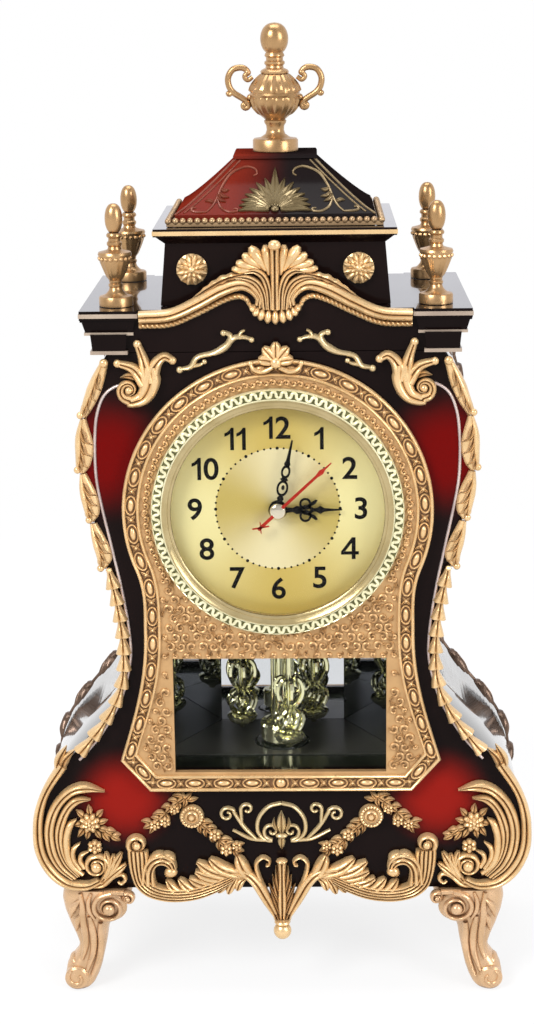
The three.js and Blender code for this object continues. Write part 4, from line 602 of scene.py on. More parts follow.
def dial_material():
    """Brushed gold: fine streaks, and broad bands about the centre that are painted reflection of the
    brushed sheen, with a paler inner disc.
    """
    material, graph, shader = new_material("dial_gold")
    offset = graph.vector("SUBTRACT", graph.position(), (0, DIAL_FACE * MM, DIAL_Z * MM))["Vector"]
    place = graph.parts(offset)
    turn = graph.calc("ARCTAN2", place["Z"], place["X"])
    inner = graph.calc("LESS_THAN", graph.vector("LENGTH", offset)["Value"], MINUTE_RING * MM)
    tones = []
    # Painted reflection: bright and dark bands that turn with the angle about the centre
    for phase, sides, ends in DIAL_SHEEN:
        swing = graph.calc("COSINE", graph.calc("MULTIPLY_ADD", turn, 2.0, phase))
        tones.append(graph.mix(graph.fade(swing, -1.0, 1.0, 0.0, 1.0, "LINEAR"), (*ends, 1), (*sides, 1)))
    streaks = {"Scale": DIAL_STREAKS, "W": turn}
    grain = graph.add("ShaderNodeTexNoise", streaks, noise_dimensions="1D")["Fac"]
    graph.feed(shader, {
        "Base Color": graph.mix(inner, *tones),
        "Roughness": graph.fade(grain, 0.0, 1.0, 0.3, 0.5, "LINEAR"),
        "Metallic": 0.3,
    })
    return material


def glass_material():
    """Clear pane: almost nothing but its gloss."""
    material, graph, shader = new_material("clear_glass")
    tint = graph.mottle(8.0, (0.01, 0.012, 0.011), (0.016, 0.018, 0.017))
    graph.feed(shader, {"Base Color": tint, "Roughness": 0.02, "Alpha": 0.04})
    return material


# Detail of the noise that mottles a surface, and the part of its range that is used
NOISE_DETAIL, NOISE_RANGE = 3.0, (0.35, 0.65)
# Samples of the painted shade in gilding's hollows, and the openness at which it is all painted shade, and
# all gold
SHADE_SAMPLES, SHADE_RANGE = 6, (0.12, 0.66)
# How fine the tones and the roughness of each finish vary
GILT_MOTTLE, GILT_GRAIN = 90.0, 240.0
LACQUER_MOTTLE, LACQUER_GRAIN, ROOF_MOTTLE = 14.0, 30.0, 20.0
DIAL_STREAKS = 60.0
# Share of a red spot that has its full colour
GLOW_CORE = 0.15
# How far a face's normal leans to the front where the flanks' clear coat begins to end, and where it ends
FLANK_RANGE = (0.2, 0.7)
LACQUER_GLOSS = 0.07
LACQUER_TONES = (0.010, 0.0050, 0.0045), (0.006, 0.0030, 0.0028)
# Middle, reach and colour of the red spots, on the right side and mirrored
CASE_SPOTS = ((77, 269, 35, (0.14, 0.001, 0.0006)), (75, 101, 29, (0.26, 0.009, 0.005)))
ROOF_COAT = 0.15
# Where the roof's red ends, in metres, and its red and black tones
ROOF_CHANGE = (-0.022, 0.008)
ROOF_TONES = (((0.11, 0.009, 0.005), (0.17, 0.017, 0.008)), ((0.008, 0.006, 0.006), (0.014, 0.009, 0.009)))
MINUTE_RING = 28.7
# Turn, and tones at the sides and at top and bottom, of the dial's outer ring and inner disc: these bands
# are painted reflection
DIAL_SHEEN = ((-0.15, (0.88, 0.79, 0.37), (0.62, 0.46, 0.11)),
              (0.3, (0.56, 0.43, 0.11), (0.84, 0.74, 0.42)))
# Each gilding's colours: a light and a deep tone, then the painted shade of its hollows
GILT = gilt_material("antique_gilt", (0.86, 0.60, 0.31), (0.74, 0.495, 0.24), (0.27, 0.135, 0.047))
TOP_GILT = gilt_material("top_gilt", (0.54, 0.33, 0.155), (0.43, 0.255, 0.112), (0.10, 0.045, 0.018), 0.75,
                         reach=0.0032)
FOOT_GILT = gilt_material("foot_gilt", (0.76, 0.50, 0.29), (0.64, 0.41, 0.22), (0.24, 0.12, 0.06),
                          reach=0.004)
PLATE_GILT = gilt_material("plate_gilt", (0.62, 0.375, 0.165), (0.51, 0.30, 0.13), (0.15, 0.075, 0.028),
                           0.45, (0.36, 0.46), 0.0018)
# A darker copy of the gilding: painted shade on the mounts along the flanks' rear edges
SHADED_GILT = gilt_material("shaded_gilt", (0.20, 0.125, 0.085), (0.12, 0.075, 0.05), (0.02, 0.012, 0.008))
PALMETTE = gilt_material("roof_palmette", (0.25, 0.19, 0.095), (0.18, 0.13, 0.06), (0.03, 0.02, 0.01))
BRONZE = gilt_material("roof_bronze", (0.32, 0.24, 0.13), (0.24, 0.17, 0.085), (0.05, 0.03, 0.014))
BEAD_GILT = gilt_material("bead_gilt", (0.44, 0.29, 0.15), (0.33, 0.21, 0.11), (0.06, 0.03, 0.015))
BEZEL_GILT = gilt_material("bezel_gilt", (0.92, 0.87, 0.58), (0.80, 0.75, 0.46), (0.26, 0.23, 0.09), 0.4,
                           (0.2, 0.3), 0.0012)
RIM_GILT = gilt_material("rim_gilt", (0.54, 0.43, 0.22), (0.45, 0.35, 0.16), (0.13, 0.09, 0.035), 0.6,
                         (0.18, 0.26))
PLATED_GOLD = gilt_material("plated_gold", (0.95, 0.94, 0.62), (0.82, 0.80, 0.46), (0.05, 0.055, 0.02), 0.9,
                            (0.05, 0.1), 0.003)
PALE_GILT = gilt_material("pale_gilt", (0.74, 0.58, 0.33), (0.64, 0.49, 0.26), (0.28, 0.16, 0.07))
CASE = lacquer_material("case_lacquer", CASE_SPOTS, *LACQUER_TONES)
DECK = lacquer_material("deck_lacquer", (), *LACQUER_TONES)
ROOF = roof_material()
DIAL = dial_material()
GLASS = glass_material()
ROOF_RELIEF = plain_material("roof_relief", (0.17, 0.035, 0.018), (0.26, 0.07, 0.035), 60.0, 0.2,
                             (0.25, 0.35))
SILVER_LINE = plain_material("silver_line", (0.52, 0.42, 0.40), (0.68, 0.58, 0.55), 60.0, 0.5, (0.28, 0.38))
CAPITAL_LINE = plain_material("capital_line", (0.40, 0.31, 0.24), (0.54, 0.43, 0.33), 60.0, 0.5,
                              (0.28, 0.38))
BAND = plain_material("frame_recess", (0.20, 0.10, 0.04), (0.27, 0.14, 0.06), 120.0, 0.3, (0.4, 0.55))
# Painted shade: the dark floor of the bezel's channel, under the ribbon
BEZEL_SHADE = plain_material("bezel_channel_shade", (0.11, 0.11, 0.035), (0.18, 0.17, 0.06), 80.0, 0.3, (0.2, 0.3))
MIRROR = plain_material("mirror_pane", (0.72, 0.74, 0.76), (0.78, 0.80, 0.82), 5.0, 1.0, (0.02, 0.04))
CHAMBER_GREY = plain_material("chamber_grey", (0.042, 0.042, 0.033), (0.054, 0.054, 0.043), 30.0, 0.0,
                              (0.28, 0.34))
CHAMBER = plain_material("chamber_black", (0.010, 0.013, 0.008), (0.018, 0.022, 0.013), 40.0, 0.0,
                         (0.12, 0.2))
BLACK_INK = plain_material("black_ink", (0.004, 0.0035, 0.003), (0.008, 0.007, 0.006), 200.0, 0.0,
                           (0.8, 0.9), 0.15)
RED_PAINT = plain_material("red_paint", (0.36, 0.014, 0.006), (0.44, 0.022, 0.009), 200.0, 0.0,
                           (0.35, 0.45), 0.2)
STEEL_CAP = plain_material("steel_cap", (0.80, 0.72, 0.55), (0.88, 0.80, 0.64), 150.0, 0.85, (0.12, 0.18))
PLASTIC = plain_material("black_plastic", (0.018, 0.018, 0.019), (0.03, 0.03, 0.031), 900.0, 0.0,
                         (0.5, 0.65))
CONTROL = plain_material("control_plastic", (0.09, 0.088, 0.085), (0.12, 0.117, 0.113), 700.0, 0.0,
                         (0.4, 0.55))
NYLON = plain_material("wheel_plastic", (0.72, 0.69, 0.6), (0.8, 0.77, 0.68), 160.0, 0.0, (0.4, 0.5))
CELL = plain_material("cell_sleeve", (0.012, 0.06, 0.03), (0.02, 0.085, 0.045), 60.0, 0.3, (0.25, 0.35))
CONE = plain_material("speaker_cone", (0.012, 0.012, 0.013), (0.024, 0.024, 0.026), 300.0, 0.0, (0.7, 0.85))


# Case

CASE_EDGE, REAR_EDGE, ROUND_STEPS = 1.2, 0.4, 4
OPENINGS = [circle(DIAL_HOLE), rectangle(WINDOW_HALF, WINDOW_BOTTOM, WINDOW_TOP)]


def case_shell():
    """Smooth shell, open at the back, with rounded front edges and the dial and window openings."""
    form = Form()
    for y, inset in ((FRONT, CASE_EDGE), (PANEL_BACK, WALL)):
        form.sheet([case_outline(inset)] + OPENINGS, y)
    form.walls(OPENINGS, FRONT, PANEL_BACK)
    skin = []
    for step in range(ROUND_STEPS + 1):
        angle = math.pi / 2 * step / ROUND_STEPS
        y, inset = FRONT + CASE_EDGE * (1 - math.cos(angle)), CASE_EDGE * (1 - math.sin(angle))
        skin.append([(x, y, z) for x, z in case_outline(inset)])
    for y, inset in ((REAR - REAR_EDGE, 0.0), (REAR, REAR_EDGE), (REAR, WALL), (PANEL_BACK, WALL)):
        skin.append([(x, y, z) for x, z in case_outline(inset)])
    form.loft(skin, caps=False)
    form.build("case_shell", CASE, "case_lacquer", replaces=["body_shell"], angle=50)


case_shell()


# Dial frame

# The frame's rim round the bezel, its half-widths, the rise and slope of its corners, its bends and arc
FRAME_RIM, FRAME_WAIST = 13.5, WAIST_HALF - 11
FRAME_CORNER, CORNER_RISE, CORNER_SHARE = 75.8, 15.6, 0.42
FRAME_BASE = 62.2
FRAME_WAIST_Z = lerp(FRAME_BOTTOM, DIAL_Z, 0.57)
ARC_START = math.radians(22)
ARC_STEPS, BEND_STEPS, BEND_REACH = 90, 24, 12


def frame_outline(inset):
    """Closed outline of the gilt frame: a circle round the dial that runs down to the window's foot."""
    radius = BEZEL_RADIUS + FRAME_RIM - inset
    waist = FRAME_WAIST - inset
    corner, corner_z = FRAME_CORNER - inset, FRAME_BOTTOM + CORNER_RISE + CORNER_SHARE * inset
    base = FRAME_BASE - CORNER_SHARE * inset
    join_x, join_z = radius * math.cos(ARC_START), DIAL_Z - radius * math.sin(ARC_START)
    lean_x, lean_z = BEND_REACH * math.sin(ARC_START), BEND_REACH * math.cos(ARC_START)

    def bezier(a, b, c, d):
        points = []
        for i in range(1, BEND_STEPS + 1):
            t = i / BEND_STEPS
            weights = ((1 - t) ** 3, 3 * t * (1 - t) ** 2, 3 * t * t * (1 - t), t**3)
            points.append(tuple(sum(w * p[k] for w, p in zip(weights, (a, b, c, d))) for k in (0, 1)))
        return points

    right = [(base, FRAME_BOTTOM + inset), (corner, corner_z)]
    right += bezier((corner, corner_z), (corner - 5.4, corner_z + 18), (waist, FRAME_WAIST_Z - 24),
                    (waist, FRAME_WAIST_Z))
    right += bezier((waist, FRAME_WAIST_Z), (waist, FRAME_WAIST_Z + BEND_REACH),
                    (join_x - lean_x, join_z - lean_z), (join_x, join_z))
    for i in range(1, ARC_STEPS + 1):
        angle = lerp(-ARC_START, math.pi / 2, i / ARC_STEPS)
        right.append((radius * math.cos(angle), DIAL_Z + radius * math.sin(angle)))
    return right + [(-x, z) for x, z in reversed(right[:-1])]


def even_points(outline, pitch):
    """Places and directions at even steps round a closed outline, from its lowest middle point."""
    loop = [Vector((0, outline[0][1]))] + [Vector(p) for p in outline] + [Vector((0, outline[0][1]))]
    reach = reaches(loop)
    count = round(reach[-1] / pitch)
    places = []
    j = 0
    for i in range(count):
        target = reach[-1] * i / count
        while reach[j + 1] < target:
            j += 1
        p, q = loop[j], loop[j + 1]
        places.append((p.lerp(q, (target - reach[j]) / (q - p).length), (q - p).normalized()))
    return places


OVAL_STEPS = 20


def oval(centre, direction, long, short):
    normal = Vector((-direction.y, direction.x))
    turns = [TAU * i / OVAL_STEPS for i in range(OVAL_STEPS)]
    return [centre + long * math.cos(turn) * direction + short * math.sin(turn) * normal for turn in turns]


def dome(form, centre, direction, long, short, relief, plane):
    """A low oval dome on a plane that faces the front."""
    rings = []
    for level in range(ROUND_STEPS + 1):
        angle = math.pi / 2 * level / ROUND_STEPS
        ring = oval(centre, direction, max(long * math.cos(angle), 1e-3),
                    max(short * math.cos(angle), 1e-3))
        rings.append([(p.x, plane - relief * math.sin(angle), p.y) for p in ring])
    form.loft(rings)


def border_rail(form, inset, width, relief):
    """A rounded rail that follows the frame's outline."""
    rings = []
    for u in stations(7, 0):
        outline = frame_outline(inset + u * width / 2)
        rings.append([(x, FRAME_FACE - relief * round_section(u), z) for x, z in outline])
    form.loft(rings, closed=True)


def oval_rail(form, centre, direction, long, short, width, relief):
    """A thin oval ring on the frame's face."""
    ring = [tuple(p) for p in oval(centre, direction, long, short)]
    form.strand(ring, [width, width], relief, steps=28, plane=FRAME_FACE, cuts=5, closed=True)


EGG_PITCH = 13.6
CURL_RADIUS, CURL_PITCH, CURL_ROW, CURL_RELIEF = 2.5, 5.1, 4.59, 1.1
CURL_COLUMNS = 16
CROWN_PLUMES, RING_CURLS = 5, 84


def dial_frame():
    """Plate with the dial and window openings, egg-and-dart border in a recess, and a leaf crown."""
    plate = Form()
    plate.plate(frame_outline(FRAME_BORDER - 1.0), OPENINGS, FRAME_FACE, PANEL)
    plate.build("frame_plate", PLATE_GILT, "gilt", replaces=["dial_frame"])

    floor = Form()
    floor.plate(frame_outline(0.4), [frame_outline(FRAME_BORDER - 0.6)], FRAME_FACE + 0.2, PANEL)
    floor.build("frame_band", BAND, "gilt")

    border = Form()
    border_rail(border, 0.9, 1.8, 2.0)
    border_rail(border, FRAME_BORDER - 0.9, 1.6, 1.7)
    band = frame_outline(FRAME_BORDER / 2)
    for i, (centre, direction) in enumerate(even_points(band, EGG_PITCH)):
        if i == 0:
            continue
        dome(border, centre, direction, 3.1, 1.4, 1.5, FRAME_FACE)
        oval_rail(border, centre, direction, 4.4, 2.5, 1.0, 1.3)
    for i, (centre, direction) in enumerate(even_points(band, EGG_PITCH / 2)):
        if i % 2 == 0:
            continue
        normal = Vector((-direction.y, direction.x))
        for slant in (-1, 1):
            reach = 1.9 * direction + slant * 2.2 * normal
            border.leaf(centre - reach, centre + reach, 1.7, 1.4, 0, FRAME_FACE, 4)
        dome(border, centre, direction, 0.9, 0.9, 1.7, FRAME_FACE)
    boss = Vector((0, FRAME_BOTTOM + FRAME_BORDER / 2))
    dome(border, boss, Vector((1, 0)), 2.4, 2.4, 2.0, FRAME_FACE)
    oval_rail(border, boss, Vector((1, 0)), 3.5, 3.5, 1.0, 1.6)
    border.build("frame_border", GILT, "gilt")

    crown = Form()
    heart = DIAL_Z + BEZEL_RADIUS + 12.6
    for i in range(CROWN_PLUMES):
        angle = math.radians(lerp(8, 172, i / (CROWN_PLUMES - 1)))
        length = lerp(7.8, 8.8, math.sin(angle))
        tip = (length * math.cos(angle), heart + length * math.sin(angle))
        path = [(0, heart - 0.5), (tip[0] / 2, (heart + tip[1]) / 2), tip]
        crown.plume(path, 5.2, 4.0, 2, FRAME_FACE - 1.0, 12)
    crown.ball(0, FRAME_FACE - 3.2, heart - 0.4, 2.6)
    for side in (-1, 1):
        arm = [(1.5, heart - 2.6), (6, heart - 4.6), (10, heart - 3.6), (11.4, heart - 1.2)]
        crown.strand(mirrored(side, arm), [2.6, 2.8, 2.4, 1.8], 2.6, plane=FRAME_FACE - 0.8)
        crown.ball(side * 11.4, FRAME_FACE - 1.8, heart - 0.9, 1.3)
    crown.build("frame_crown", GILT, "gilt")


def damask():
    """Small leafy curls in relief over the frame's plate."""
    form = Form()
    limit = [Vector(p) for p in frame_outline(FRAME_BORDER + 0.4)]

    def inside(x, z, clear):
        if math.hypot(x, z - DIAL_Z) < BEZEL_RADIUS + clear:
            return False
        if abs(x) < WINDOW_HALF + clear and WINDOW_BOTTOM - clear < z < WINDOW_TOP + clear:
            return False
        edge = min((Vector((x, z)) - p).length for p in limit)
        crossings = 0
        for p, q in zip(limit, limit[1:] + limit[:1]):
            if (p.y > z) != (q.y > z) and x < p.x + (z - p.y) / (q.y - p.y) * (q.x - p.x):
                crossings += 1
        return crossings % 2 == 1 and edge > clear

    def curl(x, z, radius, turn, hand):
        path = spiral(x, z, radius, 0.25 * radius, turn, hand * 420, 14)
        form.strand(path, [0.8, 1.6, 1.4, 0.9], CURL_RELIEF, steps=18, plane=FRAME_FACE, cuts=5)
        tail = math.radians(turn)
        start = (x + radius * math.cos(tail), z + radius * math.sin(tail))
        for spread, reach in ((60, 1.2), (20, 0.9)):
            away = math.radians(turn - hand * spread)
            tip = (start[0] + reach * radius * math.cos(away), start[1] + reach * radius * math.sin(away))
            if inside(*tip, 0.3):
                form.leaf(start, tip, 0.6 * radius, CURL_RELIEF, 0.2 * hand, FRAME_FACE, 4)

    for row in range(int((DIAL_Z - FRAME_BOTTOM) / CURL_ROW)):
        z = FRAME_BOTTOM + FRAME_BORDER + row * CURL_ROW
        for column in range(-CURL_COLUMNS, CURL_COLUMNS + 1):
            x = (column + 0.5 * (row % 2)) * CURL_PITCH
            hand = 1 if (row + column) % 2 else -1
            if inside(x, z, CURL_RADIUS + 0.2):
                curl(x, z, CURL_RADIUS, 70 * column + 110 * row, hand)
            elif inside(x, z, 0.5 * CURL_RADIUS):
                curl(x, z, 0.5 * CURL_RADIUS, 90 * column + 50 * row, hand)
    ring = BEZEL_RADIUS + 2.6
    for i in range(RING_CURLS):
        angle = math.radians(lerp(-32, 212, i / (RING_CURLS - 1)))
        x, z = ring * math.cos(angle), DIAL_Z + ring * math.sin(angle)
        curl(x, z, 1.5, math.degrees(angle) + 90, 1 if i % 2 else -1)
    form.build("frame_damask", PLATE_GILT, "gilt")


dial_frame()
damask()


# Bezel, lens, dial and hands

BEZEL_SIGHT = 49.0
BEZEL_CHANNEL = (53.7, 57.4)
RIBBON_STEPS, RIBBON_SWING, RIBBON_RADIUS = 76, 1.05, 0.78
RING_SIDES = 120


def bezel():
    """Ring with a smooth sloped rim inside a channel with a stepped ribbon, and a dark ring on the
    channel's floor as painted shade under the ribbon.
    """
    form = Form()
    spigot = 52.5
    seat = 50.8
    back = FRAME_FACE - SEAT
    face = -BEZEL_FRONT
    inner, outer = BEZEL_CHANNEL
    profile = [
        (inner, face - 0.9), (inner, face - 2.0), (outer, face - 2.0), (outer, face - 1.2),
        (outer + 0.3, face - 1.0), (BEZEL_RADIUS, face - 1.6), (BEZEL_RADIUS, -back), (inner - 0.6, -back),
        (inner - 0.6, face - 0.7),
    ]
    ring_of(form, profile)
    middle = (inner + outer) / 2
    ribbon = []
    for i in range(RIBBON_STEPS):
        for share, swing in ((0.08, 1), (0.42, 1), (0.58, -1), (0.92, -1)):
            angle = TAU * (i + share) / RIBBON_STEPS
            reach = middle + swing * RIBBON_SWING
            x, z = reach * math.cos(angle), DIAL_Z + reach * math.sin(angle)
            ribbon.append(Vector((x, BEZEL_FRONT + 1.2, z)))
    form.tube(ribbon, RIBBON_RADIUS, 3 * len(ribbon), closed=True, sides=8)
    form.build("bezel_ring", BEZEL_GILT, "bezel_gilt", replaces=["bezel"])
    rim = Form()
    ring_of(rim, [
        (BEZEL_SIGHT, face - 3.0), (BEZEL_SIGHT, face - 2.3), (BEZEL_SIGHT + 0.3, face - 2.0),
        (BEZEL_SIGHT + 1.4, face - 1.7), (BEZEL_SIGHT + 1.6, face - 1.2), (BEZEL_SIGHT + 2.0, face - 1.0),
        (inner - 1.5, face - 0.5), (inner - 1.1, face - 0.1), (inner - 0.6, face - 0.2),
        (inner - 0.6, -back),
        (spigot, -back), (spigot, -PANEL_BACK), (seat, -PANEL_BACK), (seat, face - 3.0),
    ])
    rim.build("bezel_rim", RIM_GILT, "bezel_gilt")
    # A dark ring on the channel's floor, as painted shade under the ribbon
    channel_shade = Form()
    ring_of(channel_shade, [(inner + 0.05, face - 2.0), (inner + 0.05, face - 1.6), (outer - 0.05, face - 1.6),
                      (outer - 0.05, face - 2.0)])
    channel_shade.build("bezel_channel_shade", BEZEL_SHADE, "bezel_gilt")


def ring_of(form, profile):
    """A closed profile of (radius, distance in front) turned about the dial's axis."""
    rings = []
    for i in range(RING_SIDES):
        angle = TAU * i / RING_SIDES
        rings.append([(r * math.cos(angle), -depth, DIAL_Z + r * math.sin(angle)) for r, depth in profile])
    form.loft(rings, closed=True)


# Figures drawn in a height of 1: the one with its flag, the four with its open middle
DRAWN_FIGURES = {
    "1": [[(0.24, 0), (0.40, 0), (0.40, 1.0), (0.28, 1.0), (0.22, 0.90), (0.12, 0.81), (0, 0.75), (0, 0.60),
           (0.13, 0.65), (0.24, 0.73)]],
    "4": [[(0.46, 0), (0.63, 0), (0.63, 0.21), (0.77, 0.21), (0.77, 0.36), (0.63, 0.36), (0.63, 1.0),
           (0.47, 1.0), (0, 0.35), (0, 0.21), (0.46, 0.21)],
          [(0.46, 0.36), (0.18, 0.36), (0.46, 0.74)]],
}
FIGURE_RING, FIGURE_HEIGHT, FIGURE_LIFT = 38.3, 10.5, 0.08
FIGURE_WIDTH = 1.02 * FIGURE_HEIGHT
FIGURE_GAP, FIGURE_STROKE = 0.11, 0.017
HOUR_DOT, MINUTE_DOT = 0.76, 0.5


def figure_mesh(figure):
    """Points and faces of one figure in a height of 1, from x = 0, and its width."""
    if figure in DRAWN_FIGURES:
        loops = DRAWN_FIGURES[figure]
        points = [point for loop in loops for point in loop]
        faces = tessellate_polygon([[Vector((x, z, 0)) for x, z in loop] for loop in loops])
        return points, [tuple(face) for face in faces], max(x for x, z in points)
    curve = bpy.data.curves.new("figure", "FONT")
    curve.body = figure
    curve.size = 1.0
    curve.offset = FIGURE_STROKE
    curve.resolution_u = 6
    holder = bpy.data.objects.new("figure", curve)
    bpy.context.scene.collection.objects.link(holder)
    bpy.context.view_layer.update()
    mesh = bpy.data.meshes.new_from_object(holder)
    left, low = min(v.co.x for v in mesh.vertices), min(v.co.y for v in mesh.vertices)
    scale = 1 / (max(v.co.y for v in mesh.vertices) - low)
    points = [(scale * (v.co.x - left), scale * (v.co.y - low)) for v in mesh.vertices]
    faces = [tuple(p.vertices) for p in mesh.polygons]
    bpy.data.objects.remove(holder)
    bpy.data.curves.remove(curve)
    bpy.data.meshes.remove(mesh)
    return points, faces, max(x for x, z in points)


def dial_marks():
    form = Form()
    for hour in range(1, 13):
        angle = math.radians(90 - 30 * hour)
        figures = [figure_mesh(figure) for figure in str(hour)]
        width = sum(part[2] for part in figures) + FIGURE_GAP * (len(figures) - 1)
        x = FIGURE_RING * math.cos(angle) - FIGURE_WIDTH * width / 2
        z = DIAL_Z + FIGURE_RING * math.sin(angle) - FIGURE_HEIGHT / 2
        for points, faces, advance in figures:
            form.add([(x + FIGURE_WIDTH * a, DIAL_FACE - FIGURE_LIFT, z + FIGURE_HEIGHT * b)
                      for a, b in points], faces)
            x += FIGURE_WIDTH * (advance + FIGURE_GAP)
    for minute in range(60):
        angle = TAU * minute / 60
        radius = MINUTE_DOT if minute % 5 else HOUR_DOT
        centre = Vector((MINUTE_RING * math.cos(angle), DIAL_Z + MINUTE_RING * math.sin(angle)))
        dome(form, centre, Vector((1, 0)), radius, radius, 0.1, DIAL_FACE)
    form.build("dial_marks", BLACK_INK, "hand_black")


def turned_to(angle, points):
    """Points (x, z) of a hand drawn pointing up, turned clockwise about the dial's centre."""
    c, s = math.cos(math.radians(angle)), math.sin(math.radians(angle))
    return [(x * c + z * s, DIAL_Z - x * s + z * c) for x, z in points]


def blade(form, angle, outline, front, back, holes=()):
    form.plate(turned_to(angle, outline), [turned_to(angle, hole) for hole in holes], front, back)


def both_sides(right):
    """A closed outline from its right half, listed upwards."""
    left = [(-x, z) for x, z in reversed(right) if x > 1e-6]
    return right + left


def gear_outline(teeth, module, turn):
    points = []
    for i in range(teeth):
        for share, reach in ((-0.5, -1.4), (-0.08, 0.6), (0.08, 0.6)):
            angle = turn + TAU * (i + share) / teeth
            radius = module * (teeth / 2 + reach)
            points.append((radius * math.cos(angle), DIAL_Z + radius * math.sin(angle)))
    return points


def pipe(form, outer, inner, front, back):
    form.plate(circle(outer, 24), [circle(inner, 24)] if inner else [], front, back)


HAND_THICKNESS = 0.6
HOUR_ANGLE, MINUTE_ANGLE, SECOND_ANGLE = 90.0, 11.8, 47.0
hour_low, hour_high = extent("hour_hand")
minute_low, minute_high = extent("minute_hand")
second_low, second_high = extent("second_hand")


def hour_hand():
    front = hour_low.y
    back = front + HAND_THICKNESS
    form = Form()
    loop_x, loop_z, loop = 2.9, 12.7, 2.8
    blade(form, HOUR_ANGLE, ring_points(0, 0, 4.3, 32), front, back, [ring_points(0, 0, 2.1, 24)])
    stem = [(1.3, 3.6), (1.0, 7.0), (1.9, 8.6), (1.7, 10.0), (0.9, 11.2)]
    blade(form, HOUR_ANGLE, both_sides(stem), front, back)
    for side in (-1, 1):
        blade(form, HOUR_ANGLE, ring_points(loop_x * side, loop_z, loop), front, back,
              [ring_points(loop_x * side, loop_z, loop - 1.0)])
        prong = [(1.4, 14.6), (2.4, 13.8), (4.9, 17.4), (4.5, 18.4), (2.8, 17.3)]
        blade(form, HOUR_ANGLE, mirrored(side, prong), front, back)
    heart = [(0.0, 9.8), (2.2, 12.0), (2.4, 14.4), (0.0, 17.4)]
    hollow = [(0.0, 11.6), (1.1, 12.8), (1.1, 13.9), (0.0, 15.2)]
    blade(form, HOUR_ANGLE, both_sides(heart), front, back, [both_sides(hollow)])
    spear = [(0.7, 16.4), (0.9, 18.0), (1.9, 19.6), (0.8, 21.4), (0.65, 23), (0.25, 29.6)]
    blade(form, HOUR_ANGLE, both_sides(spear), front, back)
    pipe(form, 3.15, 2.6, front, hour_high.y)
    wheel = gear_outline(32, 0.48, math.pi + math.pi / 32)
    form.plate(wheel, [circle(2.6, 24)], hour_high.y - 1.0, hour_high.y)
    form.dress("hour_hand", BLACK_INK, "hand_black", "hour_hand")


def minute_hand():
    front = minute_low.y
    back = front + HAND_THICKNESS
    form = Form()
    blade(form, MINUTE_ANGLE, ring_points(0, 0, 3.9, 32), front, back, [ring_points(0, 0, 1.3, 20)])
    blade(form, MINUTE_ANGLE, both_sides([(1.2, 3.2), (0.9, 4.8), (1.6, 6.0), (0.8, 7.6)]), front, back)
    for z, radius, tall in ((11.0, 2.7, 1.42), (18.9, 2.15, 1.5)):
        blade(form, MINUTE_ANGLE, ring_points(0, z, radius, 24, tall), front, back,
              [ring_points(0, z, radius - 0.95, 24, tall * 1.1)])
    blade(form, MINUTE_ANGLE, both_sides([(0.9, 14.4), (1.9, 15.2), (0.9, 16.2)]), front, back)
    blade(form, MINUTE_ANGLE, ring_points(0.2, 11.4, 0.75, 14, 1.5), front, back)
    tip = [(0.8, 21.2), (1.5, 22.6), (0.9, 24.2), (0.7, 27), (0.4, 34)]
    blade(form, MINUTE_ANGLE, both_sides(tip), front, back)
    pipe(form, 1.7, 1.15, front, minute_high.y)
    form.dress("minute_hand", BLACK_INK, "hand_black", "minute_hand")
    pinion = Form()
    teeth = gear_outline(8, 0.6, math.pi)
    pinion.plate(teeth, [circle(1.75, 24)], minute_high.y - 3.0, minute_high.y - 1.8)
    pinion.build("minute_pinion", NYLON, "wheel_plastic", "minute_hand")


def second_hand():
    cap_front = second_low.y
    front = cap_front + 0.5
    back = front + HAND_THICKNESS
    form = Form()
    needle = [(0.75, -12.4), (0.75, -2.0), (0.62, 24.5), (1.2, 27.4), (0.45, 29.6), (0.25, 33.7)]
    blade(form, SECOND_ANGLE, both_sides(needle), front, back)
    arm, thick, cross_z = 2.5, 0.8, -10.8
    for lean in (-1, 1):
        bar = [(-arm, cross_z - lean * arm - thick), (-arm + thick, cross_z - lean * arm - thick),
               (arm, cross_z + lean * arm + thick), (arm - thick, cross_z + lean * arm + thick)]
        blade(form, SECOND_ANGLE, bar, front, back)
    form.dress("second_hand", RED_PAINT, "hand_red", "second_hand")
    cap = Form()
    crown = 3.7
    quarter = [math.pi / 2 * i / 8 for i in range(9)]
    profile = [(crown * math.cos(angle), 1.4 * math.sin(angle)) for angle in quarter]
    cap.lathe([(0, -0.9), (crown, -0.9)] + profile, 0, cap_front + 1.4, DIAL_Z, 40, facing=True)
    cap.build("second_cap", STEEL_CAP, "hand_red", "second_hand")
    arbor = Form()
    pipe(arbor, 0.8, 0, cap_front + 0.9, second_high.y)
    arbor.plate(gear_outline(6, 0.45, math.pi / 2), [], second_high.y - 5.2, second_high.y - 4.0)
    arbor.build("second_arbor", NYLON, "wheel_plastic", "second_hand")


bezel()
dial_marks()
hour_hand()
minute_hand()
second_hand()


# Gilt mounts on the front panel, drawn for the right side and mirrored

CORNER_EYE = (66.6, 300.4)


def corner_scroll(label, side):
    form = Form()
    body = [(56.6, 311.0), (56.8, 303.4), (60.2, 297.0), (65.8, 294.9)]
    form.strand(mirrored(side, body + spiral(*CORNER_EYE, 4.9, 1.2, 262, 430, 10)),
                [6.0, 9.0, 8.4, 6.6, 5.0, 4.0, 3.2, 2.6, 2.0], 5.2, steps=64, ribs=2)
    arms = (
        ([(57.0, 303.6), (54.4, 311.6), (50.4, 315.4), (46.6, 313.8)], 7.4),
        ([(57.8, 303.6), (59.4, 313.0), (62.2, 321.4)], 7.0),
        ([(59.2, 303.4), (64.0, 310.0), (71.4, 312.6)], 6.6),
    )
    for path, width in arms:
        widths = [share * width for share in (1, 0.86, 0.6, 0.42)]
        form.strand(mirrored(side, path), widths, 5.0, steps=26, ribs=2)
        form.ball(side * path[-1][0], PANEL - 1.8, path[-1][1], 1.9)
    form.frond(mirrored(side, [(61.6, 305.0), (66.0, 306.8), (70.4, 306.0)]), 3.4, 3.6)
    form.ball(side * CORNER_EYE[0], PANEL - 3.0, CORNER_EYE[1], 1.7)
    form.dress("corner_scroll_" + label, GILT)


